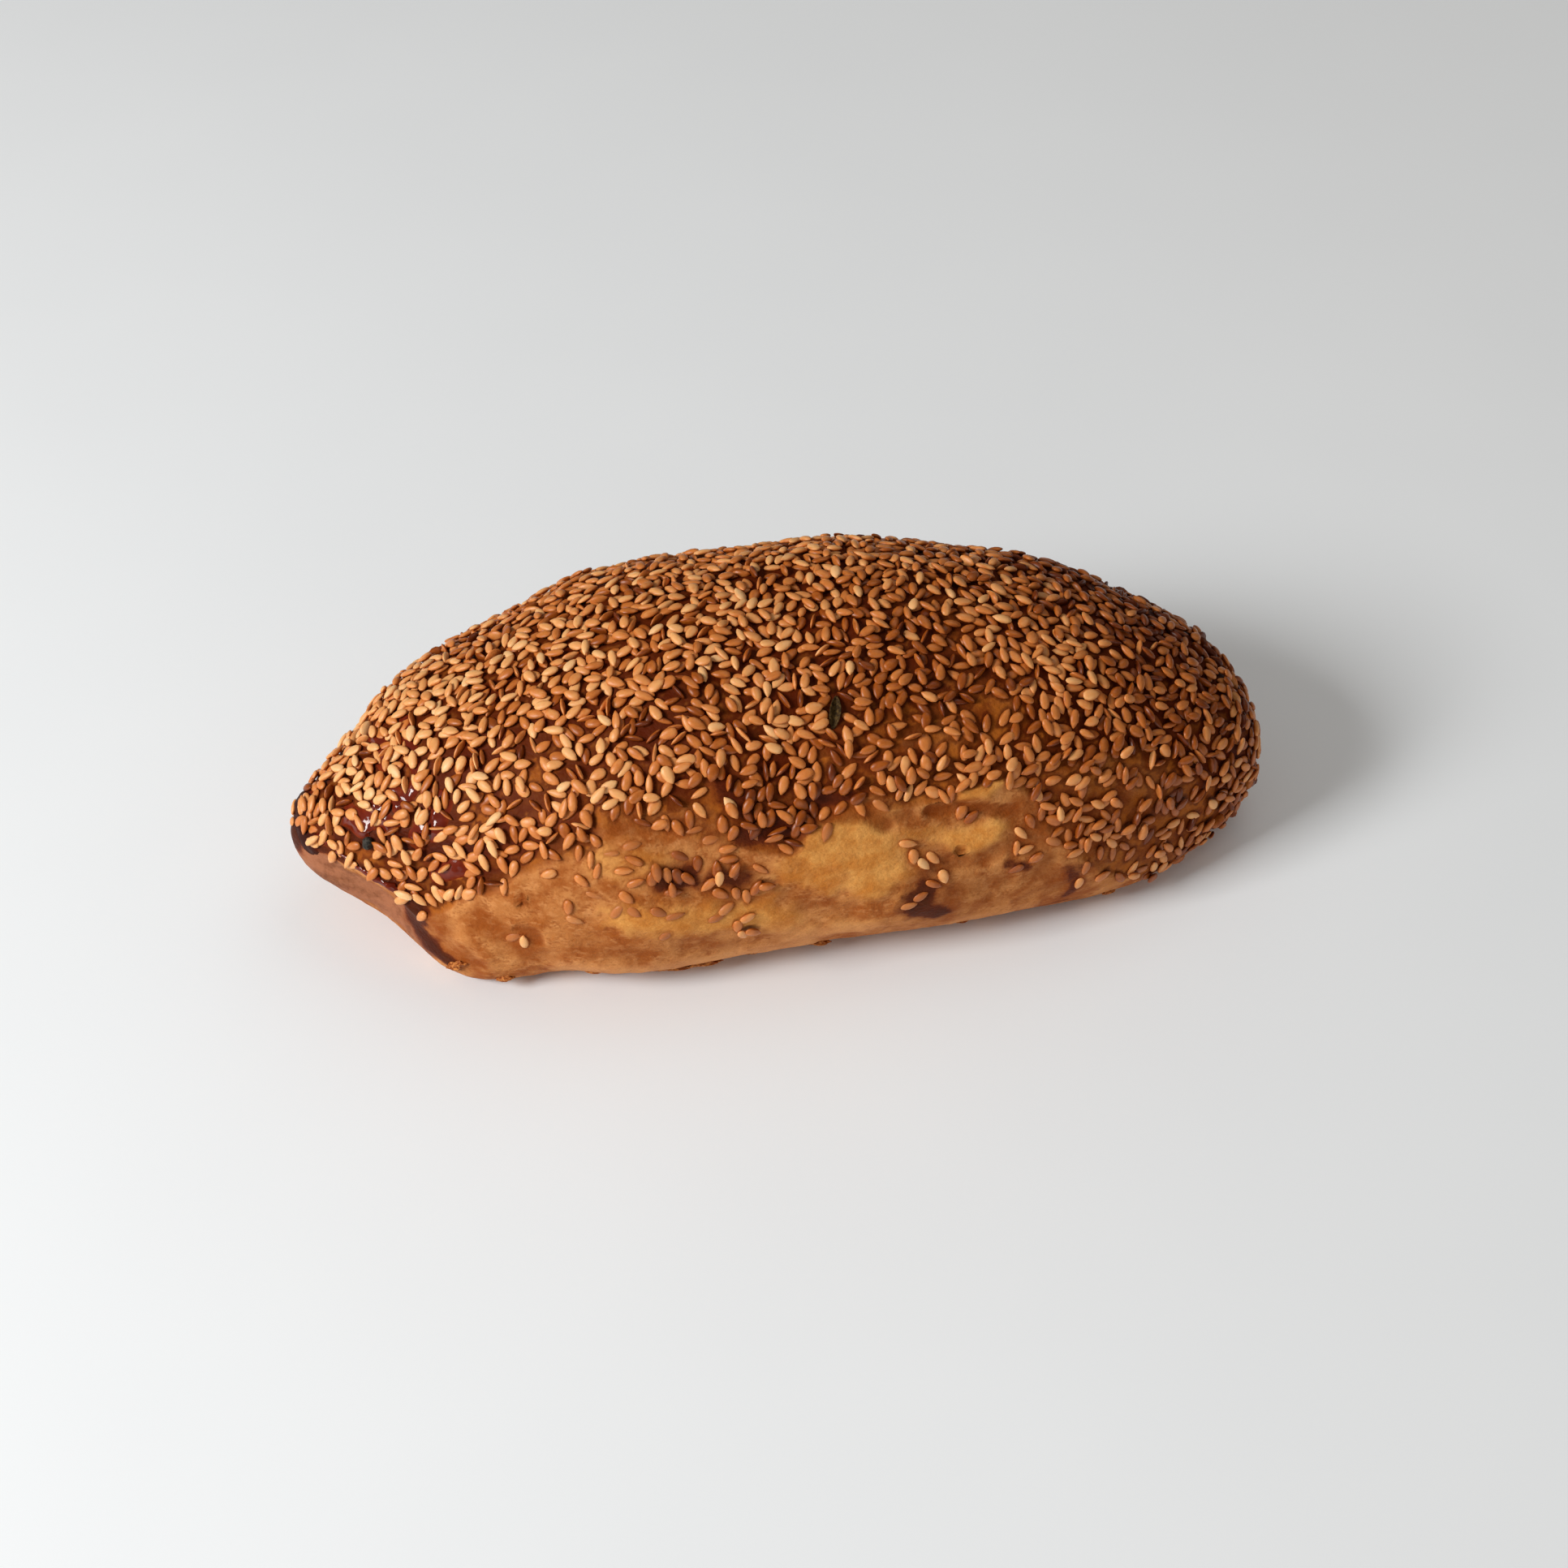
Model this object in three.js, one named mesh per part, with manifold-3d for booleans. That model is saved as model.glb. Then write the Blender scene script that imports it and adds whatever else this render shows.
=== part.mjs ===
// A pogaca: one oblong bun, baked flat on a tray, with a pointed, slightly raised nose at -X and a blunt heel
// at +X. The top carries a coat of sesame, whose thickness is part of this outer form.
// Millimetres, +Z up. The origin is under the middle of the bun, on the surface that it rests on.
import * as THREE from "three";
import { mergeVertices } from "three/addons/utils/BufferGeometryUtils.js";
import Module from "manifold-3d";

// Driving dimensions.
const LENGTH = 146;
const WIDTH = 63;
const HEIGHT = 46;

// The plan: where along the length (-1 nose, +1 heel) the bun is widest, and how full each end is. An end's
// share is (1 - t^round)^(1 / blunt), with t from 0 at the widest place to 1 at the tip.
const WIDEST_AT = -0.34;
const PLAN_NOSE = { round: 1.64, blunt: 1.32 };
const PLAN_HEEL = { round: 3.1, blunt: 2.1 };
const BOW = -2.6; // how far both ends swing towards -Y

// The back, seen from the side.
const HIGHEST_AT = -0.11;
const BACK_NOSE = { round: 1.9, blunt: 1.7 };
const BACK_HEEL = { round: 2.65, blunt: 2.2 };

// The underside: flat on the tray, then rising to each tip.
const NOSE_LIFT = { rise: 13.5, from: 0.37, power: 3 };
const HEEL_LIFT = { rise: 9.5, from: 0.6, power: 3 };

// The cross-section: a domed upper half over a squarer lower half that meets the tray with a tight round.
const WAIST = 0.36; // the widest line's share of the height
const DOME_FULLNESS = 2.15;
const FOOT_FULLNESS = 2.8;
const SUNK = 4; // how far the rounded foot would reach below the tray if it weren't pressed flat
const SUNK_OVER = 20; // a tip lower than this sinks less, in proportion
const CORE = 0.8; // the dough swells outwards from a middle line of this share of the length

// Soft lumps and dents of a hand-rolled dough: the place, how far it spreads, and how far it stands out.
const LUMPS = [
  { name: "blister on the front", at: [14, -29, 13], spread: [13, 9, 8], rise: 1.1 },
  { name: "trough over the blister", at: [20, -27, 24], spread: [15, 9, 3.6], rise: -1.1 },
  { name: "jaw, where the flat base starts", at: [-50, -23, 3], spread: [8.5, 12, 7], rise: 3 },
  { name: "hollow between jaw and nose", at: [-62, -14, 9], spread: [6, 9, 7], rise: -1.6 },
  { name: "drooping tip of the nose", at: [-71, -4, 11], spread: [5, 8, 7], rise: 1.2 },
  { name: "dip behind the tip", at: [-65, 0, 24], spread: [4.5, 12, 6], rise: -1.1 },
  { name: "shoulder of the nose", at: [-54, 8, 31], spread: [8, 14, 11], rise: 1.2 },
  { name: "hollow on the right of the crown", at: [22, -13, 38], spread: [11, 8, 8], rise: -1 },
  { name: "crown", at: [14, 8, 45], spread: [14, 13, 9], rise: 0.5 },
  { name: "foot of the heel", at: [46, -25, 5], spread: [17, 9, 9], rise: 1 },
  { name: "cheek of the heel", at: [68, -10, 10], spread: [9, 10, 9], rise: 1.3 },
  { name: "hollow at the back", at: [-14, 27, 24], spread: [14, 9, 7], rise: -1.1 },
  { name: "swell at the back", at: [26, 27, 17], spread: [18, 9, 9], rise: 1 },
];

// The fold under the nose, where the glazed top ends in a lip over the bare underside.
const FOLD = { from: -66, to: -50, fade: 6, drop: 0.42, height: 15.5, width: 2.4, lip: 0.8 };

// A slow unevenness all over: waves across the length, each with its own length in mm and height in mm.
const RIPPLES = [
  { along: [1, 0.35, 0.6], wave: 27, height: 0.18 },
  { along: [-0.5, 1, 0.4], wave: 19, height: 0.16 },
  { along: [0.7, -0.6, 1], wave: 13, height: 0.12 },
];

const FACES_ALONG = 54;
const FACES_AROUND = 76;
const WELD = 1e-3; // points closer than this are one point
const TRAY = { length: 2 * LENGTH, width: 2 * WIDTH, thickness: HEIGHT };
const CRUST = new THREE.MeshStandardMaterial({ color: 0xb26a33, roughness: 0.5, metalness: 0 });

const wasm = await Module();
wasm.setup();

// A closed geometry as a manifold-3d solid.
function solidOf(geometry) {
  const bare = geometry.clone();
  bare.deleteAttribute("normal");
  bare.deleteAttribute("uv");
  const merged = mergeVertices(bare, WELD);
  const vertProperties = new Float32Array(merged.attributes.position.array);
  const triVerts = new Uint32Array(merged.index.array);
  return new wasm.Manifold(new wasm.Mesh({ numProp: 3, vertProperties, triVerts }));
}

// A manifold-3d solid as a geometry.
function geometryOf(solid) {
  const mesh = solid.getMesh();
  const geometry = new THREE.BufferGeometry();
  geometry.setAttribute("position", new THREE.BufferAttribute(mesh.vertProperties, 3));
  geometry.setIndex(new THREE.BufferAttribute(mesh.triVerts, 1));
  geometry.computeVertexNormals();
  return geometry;
}

// A tapering outline's share of its full size at a station: 1 at the peak and 0 at both tips.
function taper(station, peak, nose, heel) {
  const toHeel = station > peak;
  const t = toHeel ? (station - peak) / (1 - peak) : (peak - station) / (1 + peak);
  const end = toHeel ? heel : nose;
  return Math.max(0, 1 - t ** end.round) ** (1 / end.blunt);
}

// How far the underside has risen, at a distance of 0 to 1 from the middle towards a tip.
function lift(towardsTip, end) {
  const t = Math.max(0, (towardsTip - end.from) / (1 - end.from));
  return end.rise * t ** end.power;
}

// A point of the plain form, at a station along the length (-1 nose, +1 heel) and an angle round the section,
// which starts at +Y and goes over the top.
function plainPoint(station, angle) {
  const halfWidth = (WIDTH / 2) * taper(station, WIDEST_AT, PLAN_NOSE, PLAN_HEEL);
  const under = lift(-station, NOSE_LIFT) + lift(station, HEEL_LIFT);
  const back = Math.max(under, under + HEIGHT * taper(station, HIGHEST_AT, BACK_NOSE, BACK_HEEL));
  const waist = under + WAIST * (back - under);
  const foot = under - SUNK * Math.min(1, (back - under) / SUNK_OVER);
  const upper = Math.sin(angle) >= 0;
  const power = 2 / (upper ? DOME_FULLNESS : FOOT_FULLNESS);
  const across = Math.sign(Math.cos(angle)) * Math.abs(Math.cos(angle)) ** power;
  const upright = Math.abs(Math.sin(angle)) ** power;
  return new THREE.Vector3(
    (station * LENGTH) / 2,
    halfWidth * across + BOW * station ** 2,
    upper ? waist + (back - waist) * upright : waist - (waist - foot) * upright,
  );
}

// How far the dough stands out of the plain form at a point of it.
function relief(p) {
  let rise = 0;
  for (const lump of LUMPS) {
    const d = p.toArray().map((v, i) => (v - lump.at[i]) / lump.spread[i]);
    rise += lump.rise * Math.exp(-(d[0] ** 2 + d[1] ** 2 + d[2] ** 2));
  }
  for (const ripple of RIPPLES) {
    const way = new THREE.Vector3(...ripple.along).normalize();
    rise += ripple.height * Math.sin((2 * Math.PI * p.dot(way)) / ripple.wave);
  }
  return rise + foldRelief(p);
}

// The lip above the fold and the hollow below it, which run back and down from the nose on the front side.
function foldRelief(p) {
  const { smoothstep } = THREE.MathUtils;
  const front = smoothstep(-p.y, 0, FOLD.fade);
  const begun = smoothstep(p.x, FOLD.from - FOLD.fade, FOLD.from);
  const ended = smoothstep(p.x, FOLD.to, FOLD.to + FOLD.fade);
  const above = (p.z - (FOLD.height - FOLD.drop * (p.x - FOLD.from))) / FOLD.width;
  return FOLD.lip * front * (begun - ended) * above * Math.exp(0.5 - above ** 2 / 2);
}

// The whole closed form, its foot still reaching below the tray.
function doughForm() {
  const form = new THREE.SphereGeometry(1, FACES_AROUND, FACES_ALONG);
  const at = form.attributes.position;
  const ball = new THREE.Vector3();
  for (let i = 0; i < at.count; i++) {
    ball.fromBufferAttribute(at, i);
    const angle = Math.atan2(ball.z, ball.x);
    const p = plainPoint(-ball.y, angle);
    const middle = new THREE.Vector3(p.x * CORE, 0, HEIGHT * WAIST);
    const outwards = p.clone().sub(middle).normalize();
    p.addScaledVector(outwards, relief(p));
    at.setXYZ(i, p.x, p.y, p.z);
  }
  return form;
}

// The bun: the dough form pressed flat where it lay on the tray, and centred over the origin.
function bun() {
  const tray = new THREE.BoxGeometry(TRAY.length, TRAY.width, TRAY.thickness);
  tray.translate(0, 0, -TRAY.thickness / 2);
  const geometry = geometryOf(solidOf(doughForm()).subtract(solidOf(tray)));
  geometry.computeBoundingBox();
  const middle = geometry.boundingBox.getCenter(new THREE.Vector3());
  const mesh = new THREE.Mesh(geometry, CRUST);
  mesh.name = "bun";
  mesh.position.set(-middle.x, -middle.y, 0);
  return mesh;
}

const pogaca = new THREE.Group();
pogaca.add(bun());

export default pogaca;
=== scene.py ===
# A baked pogaca: one oblong bun with a bare golden front, dark egg wash and a thick coat of toasted sesame.
# Metres, +Z up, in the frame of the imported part. The nose is at -X, the heel at +X, the bare front at -Y.
import math
from contextlib import contextmanager

import bpy
import numpy as np
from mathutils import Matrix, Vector, noise
from mathutils.bvhtree import BVHTree
from mathutils.kdtree import KDTree


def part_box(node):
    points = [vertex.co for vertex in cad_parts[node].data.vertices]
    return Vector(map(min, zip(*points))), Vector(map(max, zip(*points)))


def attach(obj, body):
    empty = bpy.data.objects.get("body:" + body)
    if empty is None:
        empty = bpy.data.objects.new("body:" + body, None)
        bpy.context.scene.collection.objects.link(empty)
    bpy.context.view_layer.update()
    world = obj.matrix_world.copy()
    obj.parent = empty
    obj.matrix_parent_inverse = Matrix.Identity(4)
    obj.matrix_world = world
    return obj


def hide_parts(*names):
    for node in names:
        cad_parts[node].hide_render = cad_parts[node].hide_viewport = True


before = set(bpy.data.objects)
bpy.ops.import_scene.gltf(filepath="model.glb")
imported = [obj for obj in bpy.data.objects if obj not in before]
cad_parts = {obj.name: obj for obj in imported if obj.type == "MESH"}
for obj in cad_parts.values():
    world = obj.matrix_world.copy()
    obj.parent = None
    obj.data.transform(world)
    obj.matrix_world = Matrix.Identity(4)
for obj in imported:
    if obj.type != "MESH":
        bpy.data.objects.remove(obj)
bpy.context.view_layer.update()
bun_low, bun_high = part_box("bun")

MM = 0.001
HALF_LENGTH = (bun_high.x - bun_low.x) / 2
HALF_WIDTH = (bun_high.y - bun_low.y) / 2
HEIGHT = bun_high.z

# ------------------------------------------------------------------ sizes and places
# A place on the side of the bun is (station, level): station runs from -1 at the nose to +1 at the heel,
# and level from 0 at the base to 1 at the crown. Radii and half widths are in mm.

SKIN_GRAIN = 0.6 * MM  # spacing of the crust's own mesh
SKIN_STROKES = 14  # how often it is smoothed, which takes the facets away
COAT_DEPTH = 0.75 * MM  # how far the crust lies under the top of its sesame
FRONT_TO_BACK = 4 * MM  # how far either side of the ridge the two sides' edges blend
UNDERSIDE = (-0.88, -0.55)  # how steeply the skin faces down where it is bare, and where it has its coat

# The lower edge of the sesame coat, in front and behind: station, the level of its last scattered seeds,
# the level from which it is full, and the share of a full coat between the two.
COAT_EDGE_FRONT = [
    (-1.0, 0.34, 0.38, 0.5), (-0.93, 0.37, 0.41, 0.5), (-0.87, 0.39, 0.42, 0.5), (-0.81, 0.38, 0.41, 0.5),
    (-0.765, 0.27, 0.34, 0.5), (-0.72, 0.34, 0.38, 0.5), (-0.66, 0.42, 0.46, 0.5), (-0.59, 0.49, 0.54, 0.5),
    (-0.53, 0.56, 0.60, 0.4), (-0.47, 0.59, 0.65, 0.4), (-0.43, 0.61, 0.66, 0.4), (-0.40, 0.68, 0.74, 0.4),
    (-0.34, 0.67, 0.76, 0.4), (-0.28, 0.66, 0.75, 0.4), (-0.22, 0.64, 0.74, 0.4), (-0.16, 0.62, 0.69, 0.4),
    (-0.10, 0.58, 0.64, 0.6), (-0.05, 0.56, 0.60, 0.6), (-0.01, 0.63, 0.67, 0.5), (0.06, 0.68, 0.71, 0.4),
    (0.12, 0.65, 0.72, 0.4), (0.17, 0.65, 0.69, 0.4), (0.25, 0.65, 0.69, 0.5), (0.29, 0.67, 0.70, 0.5),
    (0.35, 0.67, 0.69, 0.5), (0.41, 0.64, 0.67, 0.5), (0.45, 0.57, 0.65, 0.5), (0.48, 0.44, 0.66, 0.46),
    (0.55, 0.30, 0.67, 0.46), (0.62, 0.19, 0.64, 0.46), (0.68, 0.11, 0.60, 0.47), (0.74, 0.04, 0.54, 0.49),
    (0.82, -0.05, 0.42, 0.54), (0.88, -0.1, 0.26, 0.58), (1.0, -0.2, 0.05, 0.6),
]
COAT_EDGE_BACK = [
    (-1.0, 0.33, 0.36, 0.5), (-0.85, 0.26, 0.34, 0.4), (-0.7, 0.16, 0.30, 0.35), (-0.45, 0.22, 0.34, 0.35),
    (-0.2, 0.15, 0.28, 0.35), (0.1, 0.20, 0.40, 0.35), (0.35, 0.13, 0.26, 0.35), (0.6, 0.09, 0.22, 0.4),
    (0.8, -0.05, 0.12, 0.5), (1.0, -0.2, 0.05, 0.6),
]
COAT_EDGE_WANDER = 0.9 * MM
COAT_LAST_FADE = 0.8 * MM
COAT_FULL_FADE = 1.6 * MM

# Where the coat is thinner and the crust shows between the seeds: side, station, level, radius, how much is
# missing.
THIN_PATCHES = [
    ("front", 0.19, 0.80, 4.5, 0.50),
    ("front", 0.29, 0.80, 5.5, 0.50),
    ("front", 0.40, 0.83, 5, 0.45),
    ("front", 0.46, 0.72, 5, 0.30),
    ("front", 0.34, 0.94, 6, 0.40),
    ("front", 0.06, 0.78, 4, 0.40),
    ("front", -0.51, 0.76, 5, 0.40),
    ("front", -0.62, 0.66, 4, 0.30),
    ("front", -0.99, 0.42, 3.0, 0.92),
    ("front", -0.955, 0.36, 1.8, 0.80),
    ("front", -0.745, 0.66, 2.2, 0.45),
    ("front", -0.800, 0.57, 2.2, 0.50),
    ("front", -0.715, 0.57, 2.4, 0.40),
    ("front", -0.865, 0.47, 2.4, 0.60),
    ("front", -0.690, 0.47, 2.4, 0.35),
    ("front", -0.36, 0.80, 4, 0.35),
    ("front", -0.18, 0.78, 3.0, 0.50),
    ("back", 0.15, 0.62, 8, 0.40),
    ("back", -0.4, 0.80, 6, 0.35),
]

# Heaps, where the sesame lies two or three deep: side, station, level and radius.
HEAPS = [
    ("front", 0.70, 0.62, 20),
    ("front", 0.45, 0.99, 22),
    ("front", -0.30, 0.99, 18),
    ("front", -0.80, 0.66, 14),
    ("back", -0.55, 0.70, 16),
    ("back", 0.30, 0.85, 20),
]

# Islands of sesame on the bare front: side, station, level, radius and share of a full coat.
ISLANDS = [
    ("front", -0.27, 0.54, 3.2, 0.55),
    ("front", -0.17, 0.52, 3.8, 0.85),
]

# Single seeds on the crust, group by group from the nose to the heel: station, level and turn. A turn of 0
# points to the nose, 90 down, 180 to the heel and 270 up.
STRAY_SEEDS = [
    (-0.57, 0.26, 270), (-0.51, 0.54, 20), (-0.48, 0.43, 90), (-0.45, 0.53, 135), (-0.42, 0.57, 262),
    (-0.45, 0.61, 95), (-0.43, 0.60, 80), (-0.37, 0.57, 180), (-0.37, 0.48, 140), (-0.35, 0.60, 330),
    (-0.35, 0.53, 200), (-0.32, 0.54, 262), (-0.31, 0.56, 100), (-0.29, 0.54, 100), (-0.27, 0.53, 105),
    (-0.25, 0.52, 130), (-0.26, 0.67, 120), (-0.23, 0.56, 95), (-0.19, 0.45, 150), (-0.17, 0.60, 190),
    (-0.16, 0.52, 90), (-0.16, 0.44, 100), (-0.14, 0.42, 90), (-0.12, 0.45, 240), (-0.11, 0.52, 150),
    (-0.10, 0.46, 180), (-0.14, 0.34, 215), (-0.16, 0.31, 90), (-0.15, 0.27, 120), (-0.13, 0.28, 150),
    (0.09, 0.66, 110), (0.17, 0.68, 250), (0.18, 0.52, 180), (0.19, 0.47, 90), (0.21, 0.44, 130),
    (0.23, 0.45, 125), (0.25, 0.38, 110), (0.23, 0.36, 145), (0.27, 0.65, 90), (0.29, 0.58, 70),
    (0.31, 0.56, 230), (0.40, 0.42, 85), (0.41, 0.47, 130), (0.42, 0.41, 195), (0.44, 0.37, 20),
    (0.43, 0.50, 115), (0.46, 0.56, 30), (0.48, 0.52, 225), (0.48, 0.61, 180), (0.51, 0.48, 30),
    (0.54, 0.55, 90), (0.55, 0.45, 145), (0.55, 0.49, 165), (0.54, 0.37, 85), (0.56, 0.38, 65),
    (0.58, 0.31, 90), (0.61, 0.28, 90), (0.65, 0.25, 50), (0.59, 0.21, 185), (0.54, 0.20, 75),
]

# Seeds that the dough has all but swallowed, given in the same way.
BAKED_IN_SEEDS = [
    (-0.59, 0.27, 215), (-0.47, 0.38, 160), (-0.43, 0.48, 160), (-0.39, 0.62, 0), (-0.39, 0.43, 230),
    (-0.36, 0.43, 140), (-0.35, 0.64, 190), (-0.31, 0.42, 150), (-0.30, 0.31, 230), (-0.28, 0.40, 190),
    (-0.28, 0.48, 180), (-0.26, 0.59, 150), (-0.23, 0.66, 10), (-0.20, 0.63, 185), (-0.20, 0.36, 200),
    (-0.18, 0.39, 215), (-0.12, 0.63, 120), (0.02, 0.62, 70), (0.13, 0.66, 140), (0.40, 0.34, 25),
    (0.48, 0.41, 150), (0.51, 0.41, 90), (0.55, 0.27, 80), (0.204, 0.32, 205), (0.180, 0.29, 190),
]

# One black seed and one flake of herb that came with the sesame: station, level and turn, and their sizes.
NIGELLA_SEED = (-0.842, 0.470, 70)
NIGELLA_SIZE = (2.0 * MM, 1.7 * MM, 1.5 * MM)
NIGELLA_SUNK = 0.25 * MM
HERB_FLAKE = (0.064, 0.870, 75)
HERB_SIZE = (4.9 * MM, 1.6 * MM, 1.1 * MM)
HERB_SUNK = 0.15 * MM

# Bits of dough and seed caught where the base met the tray: station, level, form, length, width and height
# in mm, and turn.
BASE_BITS = [
    (-0.705, 0.100, "crumb", 3.2, 1.6, 1.3, 25), (-0.614, 0.060, "crumb", 2.4, 1.6, 1.2, 10),
    (-0.440, 0.055, "plump", 2.8, 1.6, 1.0, 5), (-0.285, 0.060, "flake", 5.4, 1.6, 1.0, 4),
    (-0.225, 0.070, "flake", 4.6, 1.6, 0.9, -6), (-0.120, 0.050, "crumb", 2.0, 1.2, 0.8, 0),
    (0.010, 0.060, "flake", 3.2, 1.8, 1.1, 12), (0.310, 0.045, "crumb", 2.0, 1.2, 0.8, 20),
    (0.620, 0.060, "crumb", 2.0, 1.2, 0.8, -15),
]

# Egg wash that soaked in and burnt dark: the way it took over the front, as station, level and half width,
# and how dark it is.
WASH_RUNS = [
    ([(-0.995, 0.44, 3.0), (-0.99, 0.33, 2.4)], 1.0),
    ([(-0.985, 0.335, 1.0), (-0.93, 0.385, 0.8), (-0.87, 0.39, 0.9), (-0.80, 0.37, 1.0)], 0.9),
    ([(-0.785, 0.38, 2.5), (-0.772, 0.31, 2.3), (-0.772, 0.20, 2.5),
      (-0.752, 0.15, 2.3), (-0.712, 0.10, 1.4)], 1.0),
    ([(-0.90, 0.45, 2.4), (-0.80, 0.52, 3.0), (-0.72, 0.52, 3.0),
      (-0.64, 0.56, 2.4), (-0.60, 0.60, 1.6)], 0.85),
    ([(-0.78, 0.60, 2.8), (-0.72, 0.70, 2.2)], 0.8),
    ([(-0.53, 0.66, 1.8), (-0.47, 0.70, 2.4), (-0.44, 0.76, 1.8)], 0.6),
    ([(0.225, 0.43, 1.6), (0.220, 0.37, 2.0)], 0.55),
    ([(0.215, 0.35, 2.2), (0.205, 0.31, 3.0), (0.198, 0.28, 2.8)], 0.90),
    ([(0.203, 0.25, 2.8), (0.240, 0.225, 2.4)], 0.85),
    ([(0.240, 0.42, 3.4), (0.228, 0.33, 5.2), (0.240, 0.22, 5.0)], 0.45),
    ([(-0.30, 0.53, 2.2), (-0.25, 0.52, 2.4)], 0.9),
    ([(-0.20, 0.505, 2.2), (-0.15, 0.50, 2.2)], 0.7),
    ([(-0.13, 0.64, 2.4), (-0.06, 0.65, 3.0), (0.00, 0.70, 2.0), (0.08, 0.70, 1.0)], 0.88),
    ([(-0.17, 0.79, 2.6), (-0.13, 0.71, 2.8)], 0.80),
    ([(0.385, 0.37, 1.3), (0.43, 0.33, 1.0)], 0.7),
    ([(0.515, 0.28, 1.1), (0.535, 0.21, 1.6), (0.520, 0.14, 1.3)], 0.75),
    ([(0.50, 0.31, 2.4), (0.535, 0.21, 3.0), (0.515, 0.12, 2.6)], 0.36),
    ([(0.51, 0.29, 1.2), (0.565, 0.28, 1.1)], 0.6),
    ([(0.02, 0.86, 2.2), (0.09, 0.81, 2.6), (0.13, 0.77, 2.0)], 0.6),
    ([(0.47, 0.085, 0.5), (0.55, 0.085, 0.5)], 0.6),
    ([(0.40, 0.18, 0.8), (0.47, 0.23, 1.0)], 0.35),
]

# The same wash where it stayed thick and hard as varnish: the way it took, how thick it lies, and how much
# it shines.
FILM_RUNS = [
    ([(-0.998, 0.48, 2.0), (-0.975, 0.42, 2.1), (-0.962, 0.35, 1.3)], 0.6, 0.12),
    ([(-0.950, 0.39, 0.8), (-0.925, 0.40, 0.6)], 0.8, 0.15),
    ([(-0.905, 0.395, 0.5), (-0.864, 0.385, 0.6), (-0.828, 0.368, 0.6), (-0.80, 0.355, 0.7)], 1.0, 0.9),
    ([(-0.875, 0.50, 1.3), (-0.845, 0.50, 1.3)], 0.8, 1.0),
    ([(-0.825, 0.56, 1.3), (-0.795, 0.53, 1.2)], 0.8, 1.0),
    ([(-0.800, 0.64, 1.3), (-0.775, 0.59, 1.0)], 0.7, 1.0),
    ([(-0.835, 0.70, 1.1), (-0.815, 0.66, 1.1)], 0.8, 1.0),
    ([(-0.745, 0.70, 1.1), (-0.730, 0.66, 1.2), (-0.755, 0.62, 1.0)], 0.7, 1.0),
    ([(-0.745, 0.53, 1.5), (-0.710, 0.58, 1.6), (-0.690, 0.64, 1.2)], 0.8, 1.0),
    ([(-0.72, 0.44, 1.4), (-0.68, 0.48, 1.3)], 0.6, 0.6),
]

# Pale dough that the heat and the egg wash missed: its way and how pale it is.
PALE_RUNS = [
    ([(0.01, 0.57, 4.6), (0.075, 0.555, 5.6), (0.11, 0.47, 5.4), (0.10, 0.42, 3.6)], 0.95),
    ([(-0.05, 0.50, 2.8), (0.03, 0.45, 3.4)], 0.7),
    ([(0.295, 0.655, 1.8), (0.34, 0.645, 1.8), (0.385, 0.68, 1.4)], 0.9),
    ([(0.17, 0.55, 1.6), (0.24, 0.525, 1.8)], 0.55),
    ([(0.27, 0.50, 1.8), (0.31, 0.475, 2.4), (0.355, 0.505, 2.2)], 1.0),
    ([(-0.40, 0.60, 2.8), (-0.31, 0.58, 2.6)], 0.5),
    ([(-0.38, 0.40, 3.0), (-0.24, 0.36, 3.6), (-0.12, 0.34, 3.6), (-0.06, 0.26, 3.0)], 0.80),
    ([(-0.50, 0.14, 2.2), (-0.36, 0.12, 2.6), (-0.20, 0.13, 2.8), (-0.02, 0.12, 2.4)], 0.65),
    ([(-0.04, 0.20, 2.8), (0.10, 0.21, 2.6)], 0.65),
    ([(0.28, 0.13, 2.0), (0.44, 0.12, 2.0)], 0.45),
]

# Painted shade under the nose, where the skin faces down, in a dull rosy brown of painted light bounced up
# from the floor: its way and how strong it is.
NOSE_SHADE_RUNS = [
    ([(-0.975, 0.30, 3.2), (-0.90, 0.25, 3.8), (-0.82, 0.19, 3.4), (-0.75, 0.12, 2.2)], 1.0),
]
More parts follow.
